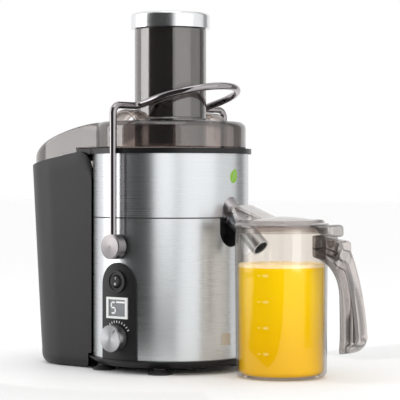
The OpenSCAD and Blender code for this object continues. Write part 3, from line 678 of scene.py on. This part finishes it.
def level_marks():
    """Faint printed level dashes on the jug, 200 ml apart, with their plain numbers."""
    angle = math.radians(-76)
    figure_size, thickness, clear_of_wall = 4.2, 0.05, 0.12
    for number, height in ((200, 28), (400, 56), (600, 84), (800, 112)):
        data = bpy.data.curves.new("figures", "FONT")
        data.body = str(number)
        data.size = figure_size
        data.extrude = thickness
        data.resolution_u = 2
        text = bpy.data.objects.new("figures", data)
        mesh = bpy.data.meshes.new_from_object(text)
        flat = np.zeros(len(mesh.vertices) * 3)
        mesh.vertices.foreach_get("co", flat)
        flat = flat.reshape(-1, 3)
        shell = Shell()
        shell.points = [join(flat[:, 0], -flat[:, 2], flat[:, 1] + height)]
        shell.faces = [list(p.vertices) for p in mesh.polygons]
        shell.count = len(flat)
        across = np.linspace(-6.4, -2.6, 5)
        line = np.concatenate([
            join(across, height + 1.2), join(across[::-1], height + 1.7),
        ])
        shell.prism(line, -thickness, thickness)
        bpy.data.objects.remove(text)
        radius = 50 + (height - 8) / 156 + clear_of_wall
        bend = onto_cylinder(JUG / MM, radius, angle)
        shell.piece(f"level_mark_{number}", "mark_faint", "jug_unit", shape=bend, sharp=60)


# ------------ jug handle and lid

def along(points, count):
    """A polyline resampled at equal steps of its length."""
    length = np.concatenate([[0], np.cumsum(np.hypot(*np.diff(points, axis=0).T))])
    at = np.linspace(0, length[-1], count)
    return np.stack([np.interp(at, length, points[:, k]) for k in (0, 1)], -1)


def jug_handle():
    """Hanging handle: an I-shaped section carried between an inner and an outer edge curve.

    The inner curve runs up the straight grip and round the arch to the jug, the outer one round
    the toe, up a long shallow arc and in along the top. At each station the section has a round
    inner bar, a thin web, which closes up where there is no pocket, and a ridged outer flange.
    """
    stations = 150
    inner = along(np.concatenate([
        arc(85.8, 33.6, 2.5, -100, -180, 6), arc(ARCH_X, ARCH_Z, ARCH_R, 0, 78.3, 24),
        [[49.9, 132.2]],
    ]), stations)
    outer = along(np.concatenate([
        [[85.5, 31.1]], arc(88, 51, 20, -90, -4, 16),
        arc(OUTER_ARC_X, OUTER_ARC_Z, OUTER_ARC_R - 0.9, 4.0, 23.2, 30), arc(81.6, 147.6, 4.4, 18, 82, 8),
        [[49.9, 157]],
    ]), stations)
    t = np.linspace(0, 1, stations)[:, None]
    depth = np.linalg.norm(outer - inner, axis=1)[:, None]
    bar = np.minimum(BAR_DEPTH, depth * 0.42)
    flange = np.minimum(2.8, depth * 0.2)
    leaf = smooth(t, 0.10, 0.135) * (1 - smooth(t, 0.66, 0.72))
    upper = smooth(t, 0.765, 0.785) * (1 - smooth(t, 0.855, 0.875))
    pocket = np.maximum(leaf, upper)
    half = 10.9 - 0.9 * (1 - smooth(t, 0, 0.05))
    web = half + (1.5 - half) * pocket
    step = np.minimum(1.2, depth * 0.06)
    ones = np.ones_like(depth)
    side = [
        (0 * ones, 0 * half), (0.1 * ones, half * 0.45), (0.7 * ones, half * 0.75),
        (1.9 * bar / BAR_DEPTH, half * 0.93), (3.6 * bar / BAR_DEPTH, half), (bar - 1.6, half),
        (bar - 0.5, half - 0.25 * pocket), (bar, half - 0.8 * pocket),
        (bar + step * 0.5, web + 0.6 * pocket), (bar + step, web),
        (depth - flange - step, web), (depth - flange - step * 0.5, web + 0.6 * pocket),
        (depth - flange, half - 0.6 * pocket), (depth - flange + 0.5, half), (depth - 1.5, half),
        (depth - 0.9, half - 0.6), (depth - 0.5, half * 0.6), (depth, 0 * half),
    ]
    out = np.concatenate([a for a, _ in side], 1)
    wide = np.concatenate([b for _, b in side], 1)
    out = np.concatenate([out, out[:, -2:0:-1]], 1)
    wide = np.concatenate([wide, -wide[:, -2:0:-1]], 1)
    way = ((outer - inner) / depth)[:, None, :]
    at = inner[:, None, :] + way * out[..., None]
    Shell().tube(join(at[..., 0], wide, at[..., 1])).piece(
        "jug_handle_grip", "smoked_handle", "jug_unit", ["jug_handle"], ON_JUG
    )


def rod(path, radius, sides=12):
    """Round rod swept along a flat path of points in an XZ plane, its section square to the path."""
    along_path = np.gradient(path, axis=0)
    along_path /= np.linalg.norm(along_path, axis=1, keepdims=True)
    level = np.array([0.0, 1.0, 0.0])
    other = np.cross(along_path, level)[:, None]
    a = full_turn(sides)[None, :, None]
    return path[:, None] + radius * (level * np.cos(a) + other * np.sin(a))


def handle_clip():
    """U-shaped clip moulded on each side of the handle's root, on a thin raised plate."""
    shell = Shell()
    bend_r, rod_r = 3.1, 0.9
    bend = arc(58.6, 147.0, bend_r, 180, 360, 14)
    path = np.concatenate([[[55.5, 154.0]], bend, [[61.7, 153.0]]])
    plate = np.array([[54.2, 133.5], [66.5, 131.0], [67.5, 132.2], [67.5, 155.6], [54.2, 156.6]])
    for side in (-1, 1):
        shell.tube(rod(join(path[:, 0], side * 11.2, path[:, 1]), rod_r))
        shell.prism(plate, *sorted((side * 10.4, side * 11.3)))
    shell.piece("handle_clip", "smoked_handle", "jug_unit", shape=ON_JUG)


DOME_Z, DOME_R = -14, 190.0


def jug_lid():
    """Domed lid with a hood over the spout, as straight lines along X stacked across Y.

    Each line runs from the rim, or from the hood's mouth, to the far rim. The height is that of a
    sphere of DOME_R, or the hood's sloping roof where that is higher, with round shoulders.
    """
    hood_half, mouth_x, dome_r, shoulder_r = 16.5, -57.5, 52.9, 3.4
    edge = np.array([-0.35, -0.1, 0.1, 0.5, 1.2, 2.2, 3.4])
    y = np.unique(np.concatenate([
        dome_r * np.sin(turn(-90, 90, 61)), hood_half - edge, edge - hood_half,
    ]))
    rim = np.sqrt(np.clip(dome_r ** 2 - y ** 2, 0, None))
    start = np.where(np.abs(y) < hood_half + 0.05, mouth_x, -rim)
    across = 0.5 - 0.5 * np.cos(np.linspace(0, np.pi, 90))
    x = start[:, None] + (rim - start)[:, None] * across
    deep = np.broadcast_to(y[:, None], x.shape)
    dome = DOME_Z + np.sqrt(DOME_R ** 2 - x ** 2 - deep ** 2)
    roof = np.interp(x, [mouth_x, -52.5, -18.0, 0], [188.0, 188.4, 175.6, 168.0])
    shoulder = np.clip((hood_half - np.abs(deep)) / shoulder_r, 0, 1)
    fall = shoulder_r * (1 - np.sqrt(1 - (1 - shoulder) ** 2))
    roof = np.where(np.abs(deep) <= hood_half, roof - fall, 0)
    z = np.maximum(dome, roof)
    lip = smooth(np.hypot(x, deep), dome_r - 1.6, dome_r) * (np.abs(deep) > hood_half)
    z = z - 1.2 * lip
    top_sheet = Shell().sheet(join(x, deep, z))
    made = top_sheet.piece("jug_lid_dome", "smoked_cover", "jug_cover", ["jug_lid"], ON_JUG)
    thicken(made, 1.8)

    half = math.asin(hood_half / dome_r)
    angles = np.linspace(-np.pi + half, np.pi - half, 120)
    band = np.array([
        [50.8, 167.0], [50.8, 164.8], [51.2, 164.4], [52.5, 164.4], [52.9, 164.8], [52.9, 166.8],
        [52.4, 167.2], [51.3, 167.2],
    ])
    ring = revolve(band, angles, 0).transpose(1, 0, 2)
    skirt_half = math.asin(14.6 / 46.8)
    skirt_angles = np.linspace(-np.pi + skirt_half, np.pi - skirt_half, 120)
    wall = np.array([
        [45.9, 172.4], [45.9, 158.6], [46.3, 158.2], [47.3, 158.2], [47.7, 158.6], [47.7, 170.0],
    ])
    skirt = revolve(wall, skirt_angles, 0).transpose(1, 0, 2)
    rims = Shell().tube(ring).tube(skirt)
    rims.piece("jug_lid_rims", "clear_cover", "jug_cover", ["jug_lid"], ON_JUG)


def thumb_tab():
    """Lever on the jug's lid: a rounded oblong section carried along X, from the dome to its end."""
    u = 1 - (1 - np.linspace(0, 1, 60)) ** 1.6
    x = 47.2 + 29.0 * u
    upper = np.interp(x, [47, 53, 60, 66, 72, 76.2], [169.4, 167.0, 166.0, 167.0, 168.4, 167.2])
    lower = np.interp(x, [47, 53, 57, 58.5, 76.2], [164.7, 164.7, 159.6, 157.2, 155.0])
    for _ in range(3):
        upper[1:-1] = (upper[:-2] + 2 * upper[1:-1] + upper[2:]) / 4
        lower[1:-1] = (lower[:-2] + 2 * lower[1:-1] + lower[2:]) / 4
    a = full_turn(48)
    across = np.sign(np.cos(a)) * np.abs(np.cos(a)) ** 0.28
    rise = np.sign(np.sin(a)) * np.abs(np.sin(a)) ** 0.34
    round_end = 1 - smooth(x, 74.4, 76.2) * 0.16
    centre, half = (upper + lower) / 2, (upper - lower) / 2 * round_end
    y = 10.7 * (0.3 + 0.7 * round_end)[:, None] * across
    z = centre[:, None] + half[:, None] * rise
    Shell().tube(join(x[:, None], y, z)).piece(
        "jug_lid_tab", "pale_tab", "jug_cover", ["jug_lid"], ON_JUG, sharp=50
    )


# ------------ lid

LID_R, LID_TOP, LID_TAIL = 87.0, 283.0, 69.5
TAIL_END, TAIL_STEP = -120.5, -84.2
TAIL_ARC_X, TAIL_ARC_Z, TAIL_ARC_R = -30, 8, 275.0
LID_FOOT, TAIL_FOOT, CHUTE_HOLE = 252.3, 224.2, 42.5


def lid_reach(c, s):
    """Distance from the axis to the lid's outline along a direction: round cap or tail, the farther."""
    side = LID_TAIL / np.maximum(np.abs(s), 1e-6)
    inside = np.clip((TAIL_END * c) ** 2 - TAIL_END ** 2 + LID_TAIL ** 2, 0, None)
    end = TAIL_END * c + np.sqrt(inside)
    tail = np.where(side * c >= TAIL_END, side, end)
    return np.where(c < 0, np.maximum(LID_R, tail), LID_R)


def lid_height(x):
    """Level over the bowl, then down a long arc over the bin."""
    past = np.minimum(x - TAIL_ARC_X, 0)
    return np.where(x > TAIL_ARC_X, LID_TOP, TAIL_ARC_Z + np.sqrt(TAIL_ARC_R ** 2 - past ** 2))


def lid_shell():
    """The lid's skin from its lower edge up the wall, over a round edge and in to the chute.

    Rows run up the wall and inward, columns round the axis. The edge's radius is 8 mm round the
    cap and 3 mm along the tail, measured square to the outline.
    """
    crease = math.atan2(LID_TAIL, -math.sqrt(LID_R ** 2 - LID_TAIL ** 2))
    step = math.atan2(LID_TAIL, TAIL_STEP)
    marks = [side * (a + d) for side in (-1, 1) for a, d in
             ((crease, -0.004), (crease, 0.004), (step, -0.0008), (step, 0.0008))]
    angles = np.unique(np.concatenate([np.linspace(-np.pi, np.pi, 240, endpoint=False), marks]))
    c, s = np.cos(angles), np.sin(angles)
    reach = lid_reach(c, s)
    slope = np.gradient(reach, angles)
    square = reach / np.hypot(reach, slope)
    square = np.clip(square, 0.35, 1)
    on_tail = smooth(np.abs(angles), crease - 0.06, crease + 0.10)
    radius = 8 - 5 * on_tail
    edge_x = reach * c
    foot = np.where(edge_x < TAIL_STEP, TAIL_FOOT, LID_FOOT)
    rows = []
    shoulder = lid_height(edge_x) - radius
    for k in np.linspace(0, 1, 10)[:-1]:
        rows.append((reach, foot + (shoulder - foot) * k))
    for a in turn(0, 90, 9):
        r = reach - radius * (1 - math.cos(a)) / square
        rows.append((r, lid_height(r * c) - radius * (1 - math.sin(a))))
    inner = reach - radius / square
    for k in np.linspace(0, 1, 22)[1:]:
        r = inner + (CHUTE_HOLE - inner) * k
        rows.append((r, lid_height(r * c)))
    shell = Shell().sheet(np.stack([join(r * c, r * s, z) for r, z in rows]), wrap=True)
    made = shell.piece("lid_shell", "smoked_lid", "base", ["lid"], sharp=50)
    thicken(made, 2.3)


def lid_chute():
    """Feed chute: a straight tube with a round lip and a stepped ring where it meets the lid."""
    profile = np.concatenate([
        [[38.9, 255.6], [39.4, 255], [40.8, 255], [41.3, 255.6], [41.3, 280.2], [44.0, 280.2]],
        arc(43.5, 285.5, 1.0, 0, 90, 5), [[42.4, 286.6], [41.5, 287.6], [41.3, 289]],
        arc(40.1, 388.8, 1.2, 0, 180, 9),
    ])
    grid = revolve(profile, full_turn(128), 0)
    Shell().sheet(grid, wrap=True, closed=True).piece(
        "lid_chute", "smoked_chute", "base", ["lid"]
    )


def lid_ears():
    """Arched humps under the arm's level rods: a rounded rim profile turned about a level axis."""
    foot_r, near, far, edge, centre_z = 20.2, 57.0, 80.0, 2.0, 270
    profile = np.concatenate([
        [[foot_r, near]], arc(23.5, near + edge, edge, -90, 0, 6),
        arc(23.5, far - edge, edge, 0, 90, 6), [[foot_r, far]],
    ])
    shell = Shell()
    a = turn(32, 148, 48)
    r, y = profile[:, :1], profile[:, 1:]
    for side in (-1, 1):
        shell.sheet(join(r * np.cos(a), side * y, centre_z + r * np.sin(a)))
    made = shell.piece("lid_ears", "smoked_ear", "base", ["lid"])
    thicken(made, 1.8)


# ------------ pulp bin

BIN_RIM, BIN_SLOPE, BIN_MOUTH = 249.0, 0.1614, 222.0
BIN_SHOULDER, BIN_SHOULDER_X = 20.0, -77.3
BIN_ROUND = 61


def bin_outline(reach, half, hug):
    """Closed plan of the bin: side, round end, side, and the hollow that hugs the housing.

    The round end and the hollow have BIN_ROUND points each.
    """
    corner, end = -math.sqrt(hug ** 2 - half ** 2), half - reach
    side = corner + (end - corner) * np.linspace(0, 1, 16)[:-1]
    round_end = arc(end, 0, half, 90, 270, BIN_ROUND)
    reached = math.degrees(math.atan2(half - 2.5, -math.sqrt(hug ** 2 - (half - 2.5) ** 2)))
    hollow = arc(0, 0, hug, -reached, reached - 360, BIN_ROUND)
    return np.concatenate([
        join(side, half), round_end, join(side[::-1], -half), hollow,
    ])


def bin_rim(plan, on_hollow):
    """Height of the rim: sloping out from a round shoulder, and cut down along the hollow."""
    x = plan[:, 0]
    slope = BIN_RIM - BIN_SLOPE * np.clip(BIN_SHOULDER_X - x, 0, None)
    over = np.clip(x - BIN_SHOULDER_X, 0, BIN_SHOULDER)
    round_part = BIN_RIM - BIN_SHOULDER + np.sqrt(BIN_SHOULDER ** 2 - over ** 2)
    return np.where(on_hollow, BIN_MOUTH, np.where(x > BIN_SHOULDER_X, round_part, slope))


def pulp_bin():
    """The bin's skin: out from the middle of its floor, round the foot, and up the tapered wall."""
    foot, step, knee = 0.3, 18.0, 12.0
    low, full, top_plan = (170.0, 64.0), (179.0, 72.0), (195.0, 73.0)
    wide_hug, hug = 95.4, 92.3
    count = len(bin_outline(*full, hug))
    on_hollow = np.arange(count) >= count - BIN_ROUND
    rim = bin_rim(bin_outline(*top_plan, hug), on_hollow)
    rows = [np.tile([-150.0, 0.0, foot], (count, 1))]
    for a in turn(0, 90, 9):
        k = math.sin(a)
        plan = bin_outline(low[0] + 9 * k, low[1] + 8 * k, wide_hug)
        rows.append(join(*plan.T, foot + knee * (1 - math.cos(a))))
    for height, radius in ((step - 0.1, wide_hug), (step + 0.1, hug)):
        rows.append(join(*bin_outline(*full, radius).T, height))
    for k in np.linspace(0, 1, 14)[1:]:
        z = step + (rim - step) * k
        share = np.clip((z - knee) / (BIN_RIM - knee), 0, 1)[:, None]
        plan = bin_outline(*full, hug) * (1 - share) + bin_outline(*top_plan, hug) * share
        rows.append(join(*plan.T, z))
    shell = Shell().sheet(np.stack(rows), wrap=True)
    made = shell.piece("pulp_bin_wall", "bin_plastic", "bin", ["pulp_bin"])
    thicken(made, 2.5)
    edge = made.modifiers.new("edge", "BEVEL")
    edge.width = 0.7 * MM
    edge.segments = 2
    edge.angle_limit = math.radians(50)


# ------------ printed and lit details

PANEL_R = -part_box("control_panel")[0].y / MM


def seam_line():
    """Black edge of the gasket in the seam: a small rounded section carried round to the spout."""
    low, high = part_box("seam_gasket")
    middle_z, out, half = (low.z + high.z) / 2 / MM, HOUSING_R / MM, 0.8
    section = np.array([
        [out - 3, middle_z - 0.4], [out - 0.1, middle_z - half], [out + 0.12, middle_z - half * 0.7],
        [out + 0.12, middle_z + half * 0.7], [out - 0.1, middle_z + half], [out - 3, middle_z + 0.4],
    ])
    ring = revolve(section, turn(12.5, 347.5, 160), 0).transpose(1, 0, 2)
    Shell().tube(ring).piece(
        "seam_line", "black_rubber", "base", ["seam_gasket"], sharp=60
    )


def leaf_mark():
    """Green leaf on the bowl's skin: two bowed halves, each a thin closed plate, beside an open vein."""
    shell = Shell()
    u = np.linspace(0.01, 0.99, 32)
    length, width, centre_z = 17.5, 6.2, 221
    lean = math.radians(24)
    for side in (-1, 1):
        vein = 0.45 * np.sin(np.pi * u) + 0.02
        bow = width * np.sin(np.pi * u ** 0.8) ** 0.8 + 0.04
        outline = np.concatenate([
            join(side * vein, length * (u - 0.5)), join(side * bow, length * (u - 0.5))[::-1],
        ])
        x = outline[:, 0] * math.cos(lean) + outline[:, 1] * math.sin(lean)
        z = centre_z + outline[:, 1] * math.cos(lean) - outline[:, 0] * math.sin(lean)
        shell.prism(join(x, z), -0.12, -0.02)
    bend = onto_cylinder(AXIS / MM, HOUSING_R / MM, math.radians(3.0))
    shell.piece("leaf_mark", "leaf_green", "base", shape=bend, sharp=30)


def bar(shell, x, z, wide, tall, low, high, point=0.0):
    """Flat bar centred on (x, z), its ends brought to a point by the given amount."""
    w, h = wide / 2, tall / 2
    if wide >= tall:
        outline = [(-w, 0), (-w + point, -h), (w - point, -h), (w, 0), (w - point, h), (-w + point, h)]
    else:
        outline = [(0, -h), (w, -h + point), (w, h - point), (0, h), (-w, h - point), (-w, -h + point)]
    shell.prism([(x + px, z + pz) for px, pz in outline], low, high)


def display_figure():
    """A lit figure five in seven-segment bars, and a short level bar, on the display."""
    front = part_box("display_screen")[0].y / MM
    centre = middle("display_screen", 2) / MM
    low, high = front - 0.18, front - 0.02
    shell = Shell()
    x, half, stroke, length, pitch, point = -6.3, 2.9, 1.75, 5.2, 6.0, 0.7
    for z in (-pitch, 0, pitch):
        bar(shell, x, centre + z, length, stroke, low, high, point)
    bar(shell, x - half, centre + pitch / 2, stroke, length, low, high, point)
    bar(shell, x + half, centre - pitch / 2, stroke, length, low, high, point)
    bar(shell, 4.6, centre + 6.4, 13.0, 1.9, low, high, 0.2)
    shell.piece("display_figure", "display_white", "base", sharp=30)


def dash(degrees, inner_r, outer_r, half_width, widening=1.0):
    """Corners of a flat dash that points outward from the dial's middle."""
    a = math.radians(degrees)
    way = np.array([math.cos(a), math.sin(a)])
    across = np.array([-way[1], way[0]]) * half_width
    start, end, wide = way * inner_r, way * outer_r, across * widening
    corners = np.array([start - across, end - wide, end + wide, start + across])
    corners[:, 1] += DIAL[2] / MM
    return corners


def dial_marks():
    """Scale of short printed dashes round the top of the dial, on the panel's curved face."""
    shell = Shell()
    for degrees in np.arange(30, 151, 12):
        x, z = dash(degrees, 17.0, 19.4, 0.42).T
        rings = [join(x, -np.sqrt((PANEL_R + out) ** 2 - x ** 2), z) for out in (-0.05, 0.1)]
        shell.tube(np.stack(rings))
    shell.piece("dial_marks", "mark_white", "base", sharp=30)


def dial_pointer():
    """Dark inlaid pointer near the edge of the dial's turned face."""
    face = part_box("dial_cap")[0].y / MM
    shell = Shell().prism(dash(52, 7.6, 12.4, 0.55, 1.3), face - 0.06, face + 0.05)
    shell.piece("dial_pointer", "mark_dark", "dial", sharp=30)


def rocker_marks():
    """Stroke and ring on the rocker's face, which leans back with its lower half out."""
    low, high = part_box("power_button")
    pivot = np.array([AXIS, -(HOUSING_R + 0.4 * MM), (low.z + high.z) / 2]) / MM
    lean = math.radians(6)
    shell = Shell()
    proud, sunk, off_centre, ring_outer, ring_inner = -4.72, -4.55, 3.2, 1.35, 0.85
    bar(shell, 0, off_centre, 0.62, 2.6, proud, sunk)
    ring = full_turn(28)
    edges = (ring_outer, sunk), (ring_outer, proud), (ring_inner, proud), (ring_inner, sunk)
    rings = [join(r * np.cos(ring), y, -off_centre + r * np.sin(ring)) for r, y in edges]
    shell.sheet(np.stack(rings), wrap=True, closed=True)

    def tip(points):
        x, y, z = points.T
        c, s = math.cos(lean), math.sin(lean)
        return join(x, y * c + z * s, z * c - y * s) + pivot

    shell.piece("rocker_marks", "mark_white", "power_rocker", shape=tip, sharp=30)


FINISHES.update({
    "juice": juice_look("orange juice"),
    "froth": froth_look("juice froth"),
    "mark_white": printed("pale print", (0.82, 0.82, 0.80)),
    "mark_dark": printed("dark inlay", (0.02, 0.02, 0.022)),
    "display_white": printed("display white", (0.85, 0.86, 0.86)),
    "leaf_green": printed("leaf green", (0.25, 0.52, 0.03), 0.35),
    # Painted light: the jug lid's dome is given a pale colour for the light on its top, much paler than
    # the rims of the same lid.
    "smoked_cover": smoked(
        "smoked jug lid", (0.62, 0.58, 0.57), (0.94, 0.92, 0.91), 0.12, 0.62, 0.10
    ),
    "clear_cover": smoked("clear jug lid rim", (0.05, 0.042, 0.04), (0.93, 0.90, 0.885), 0.06, 0.85),
    "pale_tab": smoked(
        "pale lid tab", (0.06, 0.05, 0.045), (0.93, 0.90, 0.885), 0.06, 0.95, 0.08, 0.04, 1.3
    ),
    "smoked_chute": smoked(
        "smoked chute plastic", (0.03, 0.024, 0.022), (0.80, 0.75, 0.73), 0.12, 0.95, 0.15
    ),
    "smoked_ear": smoked("smoked ear plastic", (0.10, 0.08, 0.07), (0.93, 0.88, 0.85), 0.08, 0.90),
    "mark_faint": printed("faint level print", (1.0, 0.80, 0.26)),
})

for make in (
    jug, juice, froth, level_marks, jug_handle, handle_clip, jug_lid, thumb_tab, lid_shell, lid_chute,
    lid_ears, pulp_bin, seam_line, leaf_mark, display_figure, dial_marks, dial_pointer, rocker_marks,
):
    make()

# ------------ stage, lights and camera

def softbox(name, direction, distance, size, brightness, foot=0.0, tilt_to=0.17):
    """Area light standing at a compass direction round the housing, its brightness in radiance."""
    data = bpy.data.lights.new(name, "AREA")
    data.shape = "RECTANGLE"
    data.size, data.size_y = size
    data.energy = brightness * math.pi * size[0] * size[1]
    lamp = linked(name, data)
    a = math.radians(direction)
    away = Vector((math.cos(a), math.sin(a), 0)) * distance
    lamp.location = Vector((AXIS, 0, foot + size[1] / 2)) + away
    aim = Vector((AXIS, 0, tilt_to)) - lamp.location
    lamp.rotation_euler = aim.to_track_quat("-Z", "Y").to_euler()
    lamp.visible_camera = False
    return lamp


def on_stage(name, shell, look):
    """A mesh of the stage, in metres, with its look."""
    made = shell.made(name, lambda points: points, look.material)
    return made


def floor():
    """Large pale floor."""
    reach, pale = 14.0, 0.97
    side = np.array([-reach, reach])
    x, y = np.meshgrid(side, side, indexing="ij")
    look = Finish("pale floor", (pale, pale, pale), 0.6)
    look.set("Roughness", 0.55 + 0.1 * look.noise(look.place(), 3.0))
    on_stage("floor", Shell().sheet(join(x, y, 0)), look)


def flag(name, direction_from, direction_to, grey):
    """Curved card round the object, over the floor and up, seen only in reflections."""
    near, far, lift, top = 0.24, 1.45, 0.002, 2.2
    section = np.array([[near, lift], [far, lift], [far, top]])
    angles = turn(direction_from, direction_to, 24)
    points = revolve(section, angles, AXIS)
    look = Finish(name, (0, 0, 0), 1.0, Specular_IOR_Level=0.0, Emission_Strength=1.0)
    look.set("Emission Color", (grey, grey, grey, 1))
    card = on_stage(name, Shell().sheet(points), look)
    card.visible_camera = False
    card.visible_diffuse = False
    card.visible_shadow = False


def only_for(lamp, *subjects):
    """Lets a lamp light only the given objects."""
    lit = bpy.data.collections.new(lamp.name + "_subjects")
    for subject in subjects:
        lit.objects.link(subject)
    lamp.light_linking.receiver_collection = lit


def surroundings():
    """Even white light from all round, and colours shown as they are."""
    world = bpy.data.worlds.new("studio")
    world.use_nodes = True
    back = world.node_tree.nodes["Background"]
    back.inputs["Color"].default_value = (1, 1, 1, 1)
    back.inputs["Strength"].default_value = 1.0
    bpy.context.scene.world = world
    bpy.context.scene.view_settings.view_transform = "Standard"


def camera():
    """Long lens a little above the seam's height, out over the corner between spout and controls."""
    distance, azimuth, eye = 2.0, math.radians(40.6), 0.214
    aim_right, aim_down = 0.0341, 0.0208
    out = Vector((math.sin(azimuth), -math.cos(azimuth), 0))
    right = Vector((math.cos(azimuth), math.sin(azimuth), 0))
    data = bpy.data.cameras.new("camera")
    data.lens = 155.7
    data.sensor_width = 36
    data.clip_start = 0.05
    lens = linked("camera", data)
    lens.location = Vector((AXIS, 0, eye)) + out * distance
    aim = Vector((AXIS, 0, eye - aim_down)) + right * aim_right - lens.location
    lens.rotation_euler = aim.to_track_quat("-Z", "Y").to_euler()
    bpy.context.scene.camera = lens


floor()
surroundings()
softbox("softbox_right", -8, 1.5, (1.5, 1.0), 0.45)
softbox("softbox_left", -142, 1.5, (0.9, 1.0), 2.3)
softbox("overhead", -50, 0.5, (0.8, 0.8), 1.0, foot=1.2)
skins = [frame["nodes"][node] for node in ("bowl_skin", "lower_housing")]
only_for(softbox("skin_strip", -58, 1.3, (0.72, 0.9), 1.6), *skins)
jug_pieces = [bpy.data.objects[name] for name in ("jug_wall", "juice_body", "juice_froth")]
only_for(softbox("jug_strip", -13, 1.5, (0.62, 1.2), 3.9), *jug_pieces)
flag("dark_flag", -123, -42, 0.06)
flag("grey_flag", 60, 84, 0.3)
camera()
